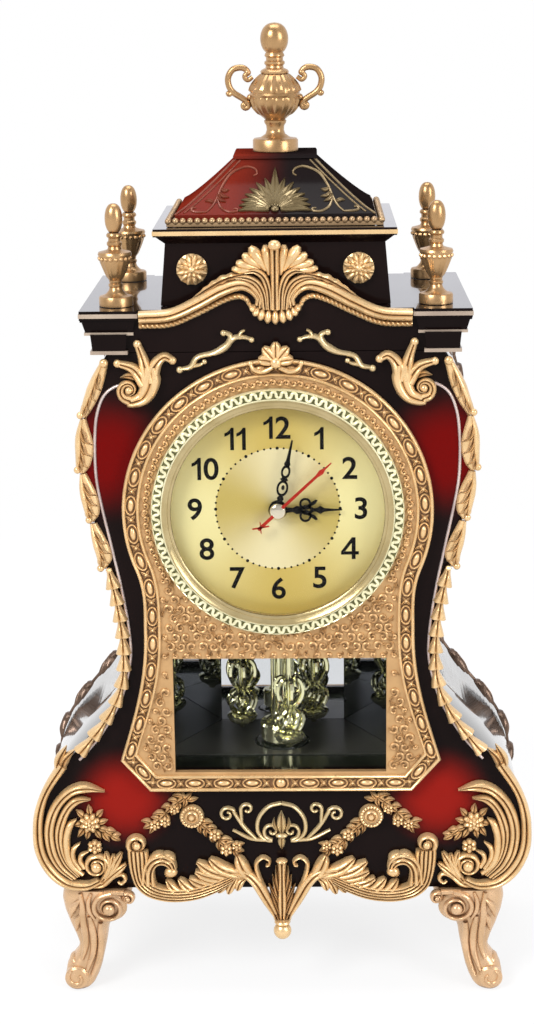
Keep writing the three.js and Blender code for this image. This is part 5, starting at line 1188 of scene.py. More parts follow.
def sprig(label, side):
    form = Form()
    stem = [(43, 309.6), (38.4, 310.6), (35.2, 315.0), (27.4, 317.0), (22, 320.2), (20.2, 324.4),
            (23.0, 326.2)]
    form.strand(mirrored(side, stem), [1.6, 2.8, 2.4, 2.4, 3.6, 3.0, 1.8], 2.8, steps=36)
    form.strand(mirrored(side, [(22, 320.4), (18.6, 323.6), (14.6, 323.9), (11.2, 323.0)]),
                [3.0, 2.8, 2.2, 1.5], 2.6)
    form.strand(mirrored(side, [(38, 311), (34.2, 311.6), (32.4, 312.8)]), [2.4, 2.0, 1.3], 2.4)
    form.strand(mirrored(side, [(16.6, 324), (15.4, 326.2), (13.8, 327.0)]), [2.0, 1.6, 1.1], 2.2)
    for x, z, radius in ((43.4, 309.4, 1.6), (23.4, 326.0, 1.4), (10.8, 322.8, 1.3), (32.2, 313, 1.2)):
        form.ball(side * x, PANEL - 1.2, z, radius)
    form.dress("sprig_" + label, PALE_GILT)


CHAIN_EDGE = 2.6
# Outer and inner edges of the four long leaves, from the top down
CHAIN_LEAVES = (
    ([(79.3, 313.2), (84.5, 303.4), (87.8, 294.3), (89.9, 288.5)],
     [(75.9, 311.5), (78.5, 301.7), (82.4, 293.4), (86.3, 287.7)]),
    ([(88.9, 287.2), (91.9, 278.6), (92.2, 269.3), (92.1, 263.0)],
     [(86.6, 287.4), (83.7, 274.9), (85.1, 265.9), (88.1, 261.4)]),
    ([(90.3, 261.4), (90.8, 253.3), (89.4, 244.8), (87.6, 239.3)],
     [(87.3, 261.6), (82.9, 251.6), (81.9, 243.1), (84.4, 238.8)]),
    ([(86.5, 237.9), (85.7, 229.4), (84.0, 220.8), (83.1, 216.1)],
     [(83.3, 238.1), (78.3, 227.7), (76.9, 220.8), (79.6, 216.4)]),
)
BELLS = 11
BELLS_TOP, BELLS_BOTTOM = 214.6, 128.0


def edge_point(side, z, inwards):
    """A point beside the case's edge, measured square to it."""
    run, norm = case_run(z)
    return (side * (case_half(z) + CHAIN_EDGE - inwards / norm), z + inwards * run / norm)


CHAIN_STEPS = 24
CHAIN_BARBS = (3, 8, 13, 17)


def leaf_chain(label, side):
    """Long barbed leaves from the capital down, then bell-flowers to the base scroll."""
    form = Form()
    for outer, inner in CHAIN_LEAVES:
        form.fan(mirrored(side, outer), mirrored(side, inner), 2.4, steps=30, section=round_section)
        line, edge = smooth(outer, CHAIN_STEPS), smooth(inner, CHAIN_STEPS)
        keel = [a.lerp(b, 0.22) for a, b in zip(line, edge)]
        form.strand(mirrored(side, keel), [1.6, 3.0, 3.6, 3.0, 1.8], 5.2, steps=30)
        for start in CHAIN_BARBS:
            tip = edge[min(CHAIN_STEPS, start + 8)]
            bend = keel[min(CHAIN_STEPS, start + 5)].lerp(tip, 0.45)
            form.frond(mirrored(side, [keel[start], bend, tip]), 4.0, 4.8)
        x, z = outer[-1]
        form.ball(side * (x - 0.8), PANEL - 1.8, z + 0.4, 1.7)
    form.ball(side * 77.6, PANEL - 1.8, 312.8, 2.1)
    for i in range(BELLS):
        top = lerp(BELLS_TOP, BELLS_BOTTOM, i / BELLS)
        bottom = lerp(BELLS_TOP, BELLS_BOTTOM, (i + 1.05) / BELLS)
        path = [edge_point(side, lerp(top, bottom, k / 3), 3.7) for k in range(4)]
        form.strand(path, [2.2, 3.4, 5.4, 7.2], 4.6, steps=12, ribs=2)
        form.ball(path[0][0], PANEL - 1.8, path[0][1], 1.5, sides=8)
    form.dress("leaf_chain_" + label, GILT)


SILVER_PATH = [(66.3, 303.2), (73.4, 301.4), (78.4, 297.3), (81.4, 290), (82.8, 281), (83.3, 267.6),
               (82.2, 252.4), (77, 226), (72.8, 204.3), (70, 183.3), (70.3, 168.6), (75.4, 150.4),
               (84.2, 134.9), (91.6, 125.4), (95.8, 120.8)]


def silver_line(label, side):
    form = Form()
    form.strand(mirrored(side, SILVER_PATH), [1.4, 1.4], 0.9, steps=120, plane=FRONT, cuts=7)
    form.build("inlay_line_" + label, SILVER_LINE, "gilt")


# Outer and inner edges, ribs and relief of the base scroll's nested leaves
BASE_LEAVES = (
    ([(105.7, 120.5), (113.2, 108.1), (117.7, 96.9), (119.3, 86.8), (118.7, 74.2), (113.3, 62.7),
      (104.8, 55.7), (94.2, 54.4), (86.4, 58.2)],
     [(101.8, 117.4), (109.8, 105.6), (113.1, 96.9), (114.3, 86.8), (113.4, 75.4), (109.0, 66.5),
      (102.2, 60.1), (94.1, 58.6), (89.3, 60.6)], 2, 5.6),
    ([(84.2, 105.7), (93.4, 109.9), (102.2, 107.2), (110.1, 98.3), (113.9, 86.8), (113.0, 74.8),
      (108.7, 65.9), (101.9, 59.7)],
     [(84.3, 105.0), (92.4, 105.1), (99.4, 103.3), (105.5, 96.6), (108.6, 86.8), (108.4, 76.7),
      (105.3, 67.8), (99.1, 60.8)], 2, 5.2),
    ([(91.0, 101.5), (98.9, 102.6), (104.7, 96.8), (108.7, 86.8), (108.5, 76.7), (105.3, 67.8),
      (99.1, 60.8)],
     [(91.1, 100.8), (97.1, 98.9), (101.3, 94.1), (103.9, 86.8), (104.9, 77.9), (102.9, 69.7),
      (97.3, 62.0)], 2, 4.9),
    ([(98.2, 91.2), (103.1, 88.9), (105.4, 81.7), (105.1, 72.9), (102.8, 66.5), (97.1, 61.4)],
     [(98.3, 90.4), (100.2, 86.4), (101.7, 80.3), (101.4, 72.9), (99.2, 67.1), (95.3, 62.9)], 1, 4.6),
    ([(96.9, 78.9), (101.4, 76.0), (101.8, 70.3), (98.4, 64.2)],
     [(96.9, 78.1), (99.2, 74.4), (99.2, 70.3), (96.2, 65.4)], 1, 4.2),
    ([(93.0, 74.4), (97.4, 72.8), (98.4, 69.0), (96.4, 65.0)],
     [(93.0, 73.7), (95.6, 71.4), (96.0, 69.0), (94.0, 66.0)], 1, 3.8),
)
# Paths and widths of the plumes at its foot, paths of the leaves at its top
BASE_PLUMES = (
    ([(88.2, 56.9), (82.1, 65.2), (77.1, 73.4)], 3.6),
    ([(86.5, 57.5), (79.8, 63.9), (75.0, 67.7)], 3.2),
    ([(86.4, 59.4), (82.3, 66.4), (81.0, 72.4)], 3.4),
    ([(85.4, 61.8), (84.0, 68.4), (84.8, 73.8)], 3.0),
)
BASE_FRONDS = (
    [(104.8, 115.4), (102.6, 121.6), (97.6, 126.6)],
    [(106.2, 114.8), (105.2, 121.6), (101.6, 128.4)],
)
# Roots and tips of the leaves about its flowers
BASE_SPRAY = (
    ((94.6, 86.4), (98.0, 81.4)), ((94.4, 92.0), (98.4, 95.6)), ((88.6, 92.0), (85.4, 95.6)),
    ((91.6, 93.0), (92.4, 98.2)), ((95.6, 88.8), (99.6, 87.6)), ((88.2, 89.0), (83.2, 90.2)),
    ((92.6, 85.2), (93.8, 80.2)), ((89.4, 85.4), (86.6, 80.6)), ((88.0, 86.6), (82.6, 84.8)),
    ((85.4, 85.6), (80.6, 81.6)), ((84.4, 85.4), (79.6, 84.4)), ((82.2, 82.6), (77.6, 79.6)),
    ((86.0, 84.2), (82.6, 79.0)), ((81.6, 82.6), (77.2, 82.6)),
)
# Middle, radius, petals, height and lift of its flowers
BASE_FLOWERS = ((91.8, 89.2, 4.9, 8, 3.6, 0.8), (91.8, 89.2, 2.8, 6, 3.0, 2.6),
                (89.9, 76.6, 3.5, 6, 3.4, 0.4))


def base_scroll(label, side):
    form = Form()
    for outer, inner, ribs, relief in BASE_LEAVES:
        form.fan(mirrored(side, outer), mirrored(side, inner), relief, ribs, 56)
    form.volute(side, 89.4, 66.4, 8.4, 235, -620, 3.0, 5.2)
    for path, width in BASE_PLUMES:
        form.plume(mirrored(side, path), 1.25 * width, 4.6)
    for path in BASE_FRONDS:
        form.frond(mirrored(side, path), 5.0, 4.6)
    curl = [(92, 55.4), (86.5, 56.4), (81.6, 60.7), (77.5, 62.0), (75.6, 59.4), (77.7, 56.9), (79.4, 58.1)]
    form.strand(mirrored(side, curl), [2.0, 2.6, 2.8, 2.6, 2.2, 1.8, 1.3], 3.4, steps=40)
    for leaf in BASE_SPRAY:
        form.leaf(*mirrored(side, leaf), 3.2, 3.4)
    for x, z, radius, petals, relief, lift in BASE_FLOWERS:
        form.flower(side * x, z, radius, petals, relief, PANEL - lift)
    form.dress("base_scroll_" + label, GILT)


GARLAND_STEPS, GARLAND_LEAVES = 40, 6


def garland(form, side, path):
    """Pointed leaves in threes along a path."""
    line = smooth(path, GARLAND_STEPS)
    for i in range(GARLAND_LEAVES):
        place = int(GARLAND_STEPS * (i + 0.15) / GARLAND_LEAVES)
        p = line[place]
        way = (line[min(GARLAND_STEPS, place + 4)] - p).normalized()
        normal = Vector((-way.y, way.x))
        length = 5.4 + 0.9 * math.sin(2.4 * i + 1)
        for lean in (-1, 1):
            tip = p + length * (0.74 * way + 0.66 * lean * normal)
            form.leaf(*mirrored(side, (p, tip)), 2.9, 3.2, 0.12 * lean * side)
        tip = p + 0.9 * length * way
        form.leaf(*mirrored(side, (p, tip)), 3.0, 4.0)


SWAG_ROSETTE = (42.9, 92.2)
ROSETTE_PROFILE = [(0, 0), (5.9, 0), (5.9, 1.2), (5.2, 2.8), (4.3, 2.0), (3.5, 1.9), (3.0, 3.0), (2.4, 3.4),
                   (1.9, 2.4), (1.5, 2.6), (1.1, 3.8), (0, 4.2)]
ROSETTE_BEADS = 20
SWAG_ROUTES = (
    [(45.4, 102.6), (52.2, 97.4), (58.0, 91.0), (65.0, 86.6)],
    [(39.4, 89.4), (33.4, 83.6), (27.2, 77.6), (19.4, 74.4)],
)
SWAG_FLOWERS = ((55.7, 89.8, 2.7), (60.6, 88.2, 2.6), (51.0, 96.2, 2.4), (32.0, 83.0, 2.9),
                (26.6, 75.2, 3.0), (21.6, 77.2, 2.4))
SWAG_TIPS = (((46.4, 100.6), (42.4, 104.4)), ((46.4, 100.6), (47.6, 104.8)), ((45.0, 100.4), (39.6, 101.4)))


def swag(label, side):
    form = Form()
    for path in SWAG_ROUTES:
        garland(form, side, path)
    for leaf in SWAG_TIPS:
        form.leaf(*mirrored(side, leaf), 2.8, 3.2)
    for x, z, radius in SWAG_FLOWERS:
        form.flower(side * x, z, radius, 6, 3.4, PANEL - 1.2)
    x, z = SWAG_ROSETTE
    form.lathe(ROSETTE_PROFILE, side * x, PANEL, z, 36, facing=True)
    for bead_x, bead_z in ring_points(side * x, z, 4.8, ROSETTE_BEADS):
        form.ball(bead_x, PANEL - 2.4, bead_z, 0.8, sides=8)
    form.dress("swag_" + label, GILT)


def centre_scroll():
    form = Form()
    for side in (-1, 1):
        bow = [(0, 98.6), (6.2, 96.6), (10.8, 90.8), (11.4, 84.2), (8, 79.8)]
        form.strand(mirrored(side, bow + spiral(4.6, 84.2, 4.9, 0.7, 268, 470, 10)),
                    [1.9, 2.0, 2.0, 1.9, 1.8, 1.6, 1.4], 2.1, steps=64)
        form.strand(mirrored(side, [(8, 79.6), (14.8, 80.4), (23.4, 84.8)]), [2.0, 2.0, 1.3], 2.1)
        arm = [(12.2, 80.2), (18.1, 86.6), (22.6, 94.0)]
        form.strand(mirrored(side, arm + spiral(26.0, 92.8, 4.0, 1.2, 150, -420, 10)),
                    [1.6, 2.1, 2.0, 1.8, 1.6, 1.5], 2.1, steps=54)
        form.strand(mirrored(side, [(19.0, 88.4), (19.3, 94.0)] + spiral(16.3, 95.6, 3.0, 1.1, 5, 330, 8)),
                    [1.6, 1.9, 1.7, 1.4], 2.1, steps=36)
        form.leaf((side * 0.8, 84), (side * 3.4, 91.2), 2.4, 2.6, -0.2 * side)
    form.leaf((0, 83.4), (0, 94.6), 4.8, 3.4)
    form.ball(0, PANEL - 1.4, 82.2, 2.0, (1.5, 1, 0.7))
    form.leaf((0, 81.6), (0, 74.8), 3.8, 2.8)
    form.dress("centre_scroll", PALE_GILT)


# Edges of the apron's fluted band and of the curl that springs from it
APRON_BAND = (
    [(74.2, 75.6), (74.0, 70.0), (73.0, 63.3), (70.6, 56.3), (64.7, 51.0), (54.3, 48.4), (42.2, 49.4),
     (32.4, 53.0), (24.3, 57.8)],
    [(64.4, 75.0), (64.0, 71.4), (64.2, 66.4), (64.0, 61.4), (60.8, 57.6), (54.0, 55.6), (43.0, 56.2),
     (33.4, 59.4), (24.2, 63.2)],
)
APRON_CURL = (
    [(68.6, 58.0), (67.5, 65.9), (65.0, 70.7), (60.9, 73.3), (56.1, 73.7), (52.1, 71.1), (50.5, 66.7),
     (51.5, 62.8), (55.2, 61.1)],
    [(60.5, 57.1), (61.2, 61.5), (61.1, 65.0), (59.9, 67.2), (57.4, 67.8), (55.3, 66.6), (54.5, 65.0),
     (55.4, 63.4), (56.8, 63.3)],
)
# Leaves with rounded tips that rise from the apron, and those that hang from it
APRON_FRONDS = (
    ([(13.0, 58.5), (18.2, 64.8), (21.3, 72.2)], 6.6),
    ([(16.0, 61.0), (27.6, 65.0), (34.7, 70.4)], 6.6),
    ([(19.8, 60.6), (32.2, 63.4), (40.8, 68.8)], 6.2),
    ([(22.5, 59.8), (33.5, 61.0), (41.8, 63.8)], 5.8),
    ([(25.1, 57.8), (33.7, 58.8), (39.4, 60.8)], 5.2),
    ([(36.0, 53.4), (44.0, 54.6), (49.8, 60.0)], 5.4),
    ([(29.0, 56.4), (37.6, 57.2), (44.8, 60.2)], 5.2),
    ([(43.0, 52.2), (51.0, 54.0), (55.6, 59.4)], 5.2),
)
CURL_LEAVES = (
    [(64.0, 60.0), (64.4, 66.0), (61.6, 70.8)], [(63.4, 66.0), (61.0, 70.6), (56.6, 73.4)],
    [(59.4, 70.6), (55.4, 71.6), (51.4, 69.6)],
)
APRON_DROPS = (
    ([(25.1, 60.5), (28.4, 56.2), (31.0, 52.8)], 4.2),
    ([(21.0, 61.4), (24.3, 56.6), (26.2, 52.0)], 4.4),
    ([(17.0, 60.5), (20.3, 57.9), (21.8, 53.8)], 4.2),
)
PALM_TIPS = ((2.9, 66.2), (4.6, 61.6), (6.4, 56.8), (6.6, 52.2), (5.6, 47.2))


def apron_mount():
    form = Form()
    for side in (-1, 1):
        form.fan(*[mirrored(side, edge) for edge in APRON_BAND], 5.4, 5, 64)
        form.volute(side, 69.4, 78.0, 6.2, -40, 500, 3.2, 7.0)
        form.fan(*[mirrored(side, edge) for edge in APRON_CURL], 5.8, 3, 56)
        form.ball(side * 53.4, PANEL - 2.4, 63.9, 2.9, (1.1, 1.0, 0.9))
        for path in CURL_LEAVES:
            form.plume(mirrored(side, path), 5.2, 6.4, 2)
        rib = [(3.6, 41.6), (8.3, 50.8), (12.3, 57.9), (17.0, 62.6), (22.6, 64.0), (29.0, 63.2),
               (36.0, 62.4)]
        form.strand(mirrored(side, rib), [3.4, 5.0, 5.6, 5.2, 4.4, 3.2, 1.0], 5.8, steps=48, ribs=2)
        for path, width in APRON_FRONDS:
            form.plume(mirrored(side, path), width, 6.2, 2)
        for path, width in APRON_DROPS:
            form.plume(mirrored(side, path), width, 5.6, 2)
        hook = [(3.6, 42.0), (8.3, 52.6), (11.4, 61.4), (12.3, 67.5), (9.3, 70.8), (6.1, 69.4), (6.1, 67.0),
                (7.7, 66.6)]
        form.strand(mirrored(side, hook), [2.0, 2.6, 2.8, 2.6, 2.4, 2.2, 1.8, 1.4], 6.4, steps=48)
        for x, z in PALM_TIPS:
            form.frond(mirrored(side, [(0.6, z - 14), (0.5 * x + 0.4, z - 6.5), (x, z)]), 3.6, 6.8)
    form.strand([(0, 39.4), (0, 50), (0, 60), (0, 69.6)], [3.2, 4.6, 4.0, 3.4, 4.4], 7.6, steps=28, ribs=2)
    form.ball(0, PANEL - 4.0, 70.2, 2.3, (1.25, 1.3, 0.6))
    form.lathe([(0, 0), (3.4, 0), (3.9, 0.8), (3.4, 1.6), (0, 1.6)], 0, PANEL - 4.3, 37.6, 24)
    form.ball(0, PANEL - 4.3, 33.9, 4.3, sides=24)
    form.dress("apron_mount", GILT)


# The crest's rail from the capital to the shell, and the shell's leaves
CREST_UPPER = [(61.1, 333.5), (47.1, 334.5), (34.7, 339.8), (24.5, 345.2), (16.0, 347.8), (10.7, 346.2),
               (7.3, 341.9), (7.6, 338.4)]
CREST_LOWER = [(61.2, 329.6), (47.2, 330.2), (34.7, 335.2), (24.6, 340.1), (17.4, 342.4), (13.2, 341.2),
               (11.2, 338.2)]
# Roots, tips and widths of the crest's upper lobes, and its arching leaves
CREST_LOBES = (
    ((2.6, 352.0), (4.3, 365.2), 4.8),
    ((3.8, 354.0), (10.9, 364.6), 5.6),
    ((5.6, 355.0), (14.3, 361.2), 4.8),
    ((7.2, 354.8), (17.2, 357.7), 4.2),
    ((8.0, 353.6), (19.1, 354.8), 3.8),
)
CREST_ARCHES = (
    ([(2.4, 336.8), (2.9, 345.4), (5.0, 351.2), (8.9, 353.8), (13.4, 353.2)], [2.8, 3.2, 3.6, 3.2, 1.2],
     8.4),
    ([(4.4, 336.7), (5.2, 343.4), (7.8, 348.4), (12.7, 350.9), (18.4, 351.0)], [2.6, 3.2, 3.6, 3.2, 1.2],
     7.6),
    ([(6.2, 337.4), (6.9, 342.2), (9.4, 346.2), (13.8, 348.9), (20.0, 349.6)], [2.2, 2.8, 2.8, 2.4, 1.0],
     6.8),
)
CREST_SPRAY = [(12.5, 352.6), (22.0, 350.4), (30.2, 346.0), (37.0, 341.6)]
SHELL_LOBES = 9


def rope(t, u):
    """Twisted strands along a narrow rail."""
    return 0.8 + 0.2 * math.cos(TAU * (26 * t + 0.4 * u))


def crest_rail():
    form = Form()
    for side in (-1, 1):
        form.strand(mirrored(side, CREST_UPPER), [5.4, 5.4, 5.4, 5.6, 5.8, 5.4, 4.6, 3.0], 5.6, steps=60,
                    ribs=2)
        form.strand(mirrored(side, CREST_LOWER), [3.0, 3.0, 3.0, 3.0, 3.0, 2.8, 2.0], 3.8, steps=130,
                    ripple=rope)
        for root, tip, width in CREST_LOBES:
            form.plume(mirrored(side, [root, tip]), width, 6.6, 1)
        for path, widths, relief in CREST_ARCHES:
            form.strand(mirrored(side, path), widths, relief, steps=36, ribs=2)
        form.frond(mirrored(side, CREST_SPRAY), 4.4, 6.0, steps=18, scallops=6)
    form.strand([(0, 336.8), (0, 350), (0, 360), (0, 365.2)], [4.4, 4.0, 4.0, 4.6], 9.0, steps=30, ribs=2)
    form.ball(0, PANEL - 6.4, 365.8, 2.9, (1.0, 0.9, 0.8))
    for i in range(SHELL_LOBES):
        angle = math.radians(lerp(200, 340, i / (SHELL_LOBES - 1)))
        tip = (11.9 * math.cos(angle), 339.4 + 9.4 * math.sin(angle))
        form.plume([(0.78 * tip[0], lerp(338.6, tip[1], 0.2)), tip], 3.7, 6.4, 1)
    form.dress("crest_rail", GILT)


def attic_rosette(label):
    form = Form()
    low, high = extent("rosette_" + label)
    x, z, plane = (low.x + high.x) / 2, (low.z + high.z) / 2, high.y
    form.lathe([(0, 0), (7.0, 0), (7.0, 0.6), (6.2, 1.2), (0, 1.2)], x, plane, z, 40, facing=True)
    form.flower(x, z, 6.9, 12, 2.6, plane - 0.8)
    form.flower(x, z, 4.0, 8, 2.8, plane - 1.6)
    form.dress("rosette_" + label, GILT)


REAR_SPRAYS, REAR_STEM = 15, 1.4
# Reach from the edge and drop of a spray's leaves
REAR_LEAVES = ((3.0, 12.0), (7.0, 9.6), (9.4, 5.4))


def rear_mount(label, side):
    """Leaf sprays along the flank's rear edge, in a darker copy of the gilding that is painted shade."""
    def on_flank(x, sunk, z):
        run, norm = case_run(z)
        return (side * (case_half(z) + (SEAT - sunk) / norm), REAR - 1.0 - x,
                z + (sunk - SEAT) * run / norm)
    form = Form(on_flank)
    top, bottom = NECK - 6, CASE_FLOOR + 4
    stem = [(REAR_STEM, lerp(top, bottom, i / 20)) for i in range(21)]
    form.strand(stem, [1.8, 1.8], 1.4, steps=80, plane=0.0, cuts=7)
    for i in range(REAR_SPRAYS):
        z = lerp(top - 3, bottom + 14, i / (REAR_SPRAYS - 1))
        for reach, drop in REAR_LEAVES:
            path = [(REAR_STEM + a * reach, z - b * drop) for a, b in ((0, 0), (0.6, 0.45), (1, 1))]
            form.frond(path, 4.6, 3.4, 0.0, 10)
    form.dress("rear_mount_" + label, SHADED_GILT)


for label, side in LEFT_RIGHT:
    corner_scroll(label, side)
    sprig(label, side)
    leaf_chain(label, side)
    silver_line(label, side)
    base_scroll(label, side)
    swag(label, side)
    attic_rosette(label)
    rear_mount(label, side)
centre_scroll()
apron_mount()
crest_rail()


# Top: deck lines, attic, bead rail, roof, urn and finials

CAPITAL_HALF, CAPITAL_PROUD = 13.0, 3.0
CAPITAL_X = 75.0
CAPITAL_Y = REAR + CAPITAL_PROUD - CAPITAL_HALF
DECK_RISE = DECK_TOP - NECK - SEAT
CAPITAL_NECK = NECK + SEAT + 0.45 * DECK_RISE
BLOCK_HALF, BLOCK_TAPER, BLOCK_SHIFT = 8.2, 0.8, 4.6


def deck_lines():
    """Lower blocks of the four capitals, proud of the front and back, and pale rails round them."""
    form = Form()
    blocks = Form()
    foot = NECK + SEAT
    for side, end in ((-1, -1), (-1, 1), (1, -1), (1, 1)):
        x, y = side * CAPITAL_X, end * CAPITAL_Y
        low_y = y + end * BLOCK_SHIFT
        rings = []
        for half, z in ((BLOCK_HALF - BLOCK_TAPER, foot), (BLOCK_HALF, CAPITAL_NECK)):
            rings.append([(x + i * half, low_y + j * half, z) for i, j in SQUARE])
        blocks.loft(rings)
        rails = (
            (y, CAPITAL_HALF + 0.35, 1.0, DECK_TOP - 3.2, DECK_TOP - 1.3),
            (y, CAPITAL_HALF - 1.9, 3.2, CAPITAL_NECK - 0.7, CAPITAL_NECK + 0.6),
            (low_y, BLOCK_HALF + 0.2, 1.2, foot - 0.5, foot + 1.1),
        )
        for middle, outer, width, low, high in rails:
            form.square_ring(x, middle, (outer, outer), (outer - width, outer - width), low, high)
    blocks.build("capital_blocks", DECK, "case_lacquer")
    form.build("capital_lines", CAPITAL_LINE, "gilt")


def attic_lines():
    form = Form()
    outer, inner = ((attic_high.x + proud, attic_high.y + proud) for proud in (0.35, -0.8))
    form.square_ring(0, 0, outer, inner, attic_high.z - 2.9, attic_high.z - 1.0)
    form.build("cornice_line", GILT, "gilt")


BEAD_RADIUS, BEAD_PITCH = 1.6, 3.25


def bead_rail():
    low, high = extent("bead_rail")
    form = Form()
    form.square_ring(0, 0, (high.x - 0.8, high.y - 0.8), (high.x - 3.4, high.y - 3.4), low.z, low.z + 1.8)
    long_half, short_half = high.x - BEAD_RADIUS, high.y - BEAD_RADIUS
    for half_a, half_b, lengthwise in ((long_half, short_half, True), (short_half, long_half, False)):
        count = round(2 * half_a / BEAD_PITCH)
        for i in range(count + 1):
            a = lerp(-half_a, half_a, i / count)
            for side in (-1, 1):
                x, y = (a, side * half_b) if lengthwise else (side * half_b, a)
                form.ball(x, y, low.z + 2.3, BEAD_RADIUS, sides=10)
    form.dress("bead_rail", BEAD_GILT)


ROOF_HALF, ROOF_HALF_DEPTH = roof_high.x, roof_high.y
ROOF_TOP_HALF = 18.0
ROOF_TOP_DEPTH = ROOF_HALF_DEPTH - 0.8 * (ROOF_HALF - ROOF_TOP_HALF)
ROOF_CURB, ROOF_LIP = 4.8, 2.0


def roof_ring(t):
    """Half width, half depth and height of the roof's hollow slope at share t."""
    rise = roof_low.z + ROOF_CURB + (roof_high.z - roof_low.z - ROOF_CURB - ROOF_LIP) * t**1.16
    return lerp(ROOF_HALF, ROOF_TOP_HALF, t), lerp(ROOF_HALF_DEPTH, ROOF_TOP_DEPTH, t), rise


def roof():
    form = Form()
    levels = [(ROOF_HALF, ROOF_HALF_DEPTH, roof_low.z)] + [roof_ring(i / 12) for i in range(13)]
    top = roof_high.z
    for spread, drop in ((1.2, ROOF_LIP), (1.2, 0.8), (0.6, 0.0)):
        levels.append((ROOF_TOP_HALF + spread, ROOF_TOP_DEPTH + spread, top - drop))
    form.loft([[(i * a, j * b, z) for i, j in SQUARE] for a, b, z in levels])
    form.dress("roof", ROOF, "roof_lacquer", angle=24)


# The front slope's length, and the way into the roof along Y and Z
SLOPE_RISE = 34.0
SLOPE_IN = (0.66, -0.75)


def on_slope(x, sunk, height):
    """A place on the roof's front slope: across, depth under it, and way up it in millimetres."""
    depth, rise = roof_ring(min(max(height / SLOPE_RISE, 0.0), 1.0))[1:]
    return (x, -depth + SLOPE_IN[0] * sunk, rise + SLOPE_IN[1] * sunk)


ROOF_SCROLLS = (
    [(31.0, 2.2), (28.3, 6.4), (26.0, 12.2), (23.7, 19.4), (19.7, 26.2), (13.4, 29.4), (9.2, 28.4),
     (8.2, 25.8), (9.8, 24.4)],
    [(26.0, 10.6), (24.3, 5.4), (20.7, 2.2), (17.2, 2.6), (17.0, 4.4), (18.6, 4.6)],
    [(31.0, 2.2), (34.6, 2.2), (37.4, 3.2), (37.2, 5.2), (35.6, 5.2)],
)
ROOF_LEAVES = (((25.2, 14.6), (20.6, 12.0)), ((24.6, 16.8), (20.8, 16.4)), ((25.8, 13.6), (22.0, 9.0)),
               ((27.6, 8.4), (31.6, 9.6)))
ROOF_BORDER = 2.8
PALMETTE_FRONDS = 15
PALMETTE_FOOT = Vector((0, 3.2))


def roof_mounts():
    """Palmette, fine scrolls and a border line on the front slope."""
    form = Form(on_slope)
    for i in range(PALMETTE_FRONDS):
        angle = math.radians(lerp(-2, 182, i / (PALMETTE_FRONDS - 1)))
        length = 25.5 if i == PALMETTE_FRONDS // 2 else lerp(16.5, 20.5, math.sin(angle) ** 4)
        way = Vector((math.cos(angle), math.sin(angle)))
        root, tip = PALMETTE_FOOT + 2.6 * way, PALMETTE_FOOT + length * way
        form.leaf(root, tip, 4.7, 1.6, 0.14 * math.cos(angle), 0.0, 12)
    for i in range(9):
        angle = math.pi * i / 8
        form.ball(3.4 * math.cos(angle), -0.6, PALMETTE_FOOT.y + 3.0 * math.sin(angle), 0.9, sides=8)
    form.ball(0, -0.8, PALMETTE_FOOT.y + 0.2, 1.9, (1, 0.6, 1))
    form.build("roof_palmette", PALMETTE, "gilt")
    for label, side in LEFT_RIGHT:
        lines = Form()
        for path in ROOF_SCROLLS:
            lines.tube([Vector(on_slope(side * x, -0.1, height)) for x, height in path], 0.62, ends=0.6)
        corner = [Vector(tuple(k * c for k, c in zip((side, -1, 1), roof_ring(i / 6)))) for i in range(7)]
        lines.tube(corner, 0.5)
        rise = [lerp(1.6, SLOPE_RISE - 1.0, i / 6) for i in range(7)]
        border = [(side * (roof_ring(height / SLOPE_RISE)[0] - ROOF_BORDER), height) for height in rise]
        lines.tube([Vector(on_slope(x, -0.1, height)) for x, height in border], 0.4)
        leaves = Form(on_slope)
        for leaf in ROOF_LEAVES:
            leaves.leaf(*mirrored(side, leaf), 2.0, 1.3, 0.2 * side, 0.0)
        lines.add(leaves.points, leaves.faces)
        lines.build("roof_lines_" + label, ROOF_RELIEF if side < 0 else BRONZE, "gilt")


def urn():
    form = Form()
    foot = [(0, 0), (10.5, 0), (10.5, 4.8), (9.9, 5.6), (7.2, 5.9), (6.4, 6.4), (4.6, 7.6), (4.0, 9.4),
            (4.2, 11.4), (5.0, 12.6), (5.2, 13.6), (4.6, 14.2), (5.4, 14.8)]
    form.lathe(foot, 0, 0, URN_FOOT, 48)
    bowl, lid = [], []
    for i in range(13):
        t = i / 12
        bowl.append((lerp(5.0, 11.3, math.sin(math.pi / 2 * t)), lerp(14.6, 24.4, t**1.15)))
        lid.append((lerp(11.2, 5.6, t**1.7), lerp(26.4, 35.2, t**0.9)))
    form.lathe(bowl, 0, 0, URN_FOOT, 96, flutes=(20, 0.10, 16.2, 23.6))
    form.lathe([(9, 24.2), (11.4, 24.4), (11.9, 25.4), (11.4, 26.4), (9, 26.6)], 0, 0, URN_FOOT, 64)
    form.lathe(lid, 0, 0, URN_FOOT, 96, flutes=(20, 0.10, 27.0, 34.6))
    neck = [(0, 34.8), (6.4, 35.0), (6.6, 35.8), (6.0, 36.6), (4.2, 37.4), (4.0, 38.4), (4.7, 39.2),
            (4.7, 40.2), (3.9, 40.8), (3.9, 42), (4.6, 42.8), (4.4, 43.6)]
    egg = egg_profile(6.45, 43.2, 57.6, 0.12)
    form.lathe(neck + egg[1:-1] + [(0, 57.7)], 0, 0, URN_FOOT, 48)
    form.dress("urn", TOP_GILT)


def egg_profile(radius, low, high, start=0.0):
    """Profile of an egg, from a share of its underside to its top."""
    steps = 14
    profile = []
    for i in range(steps + 1):
        angle = math.pi * lerp(start, 1.0, i / steps)
        profile.append((radius * math.sin(angle) ** 0.8, lerp(low, high, (1 - math.cos(angle)) / 2)))
    return profile


HANDLE_ROUTE = [(10.2, 33.4), (12.4, 32.0), (13.8, 33.6), (12.4, 35.8), (15.0, 37.6), (19.2, 36.8),
                (21.4, 33.2), (21.0, 29.2), (19.0, 26.4), (15.6, 24.2), (13.2, 22.6)]


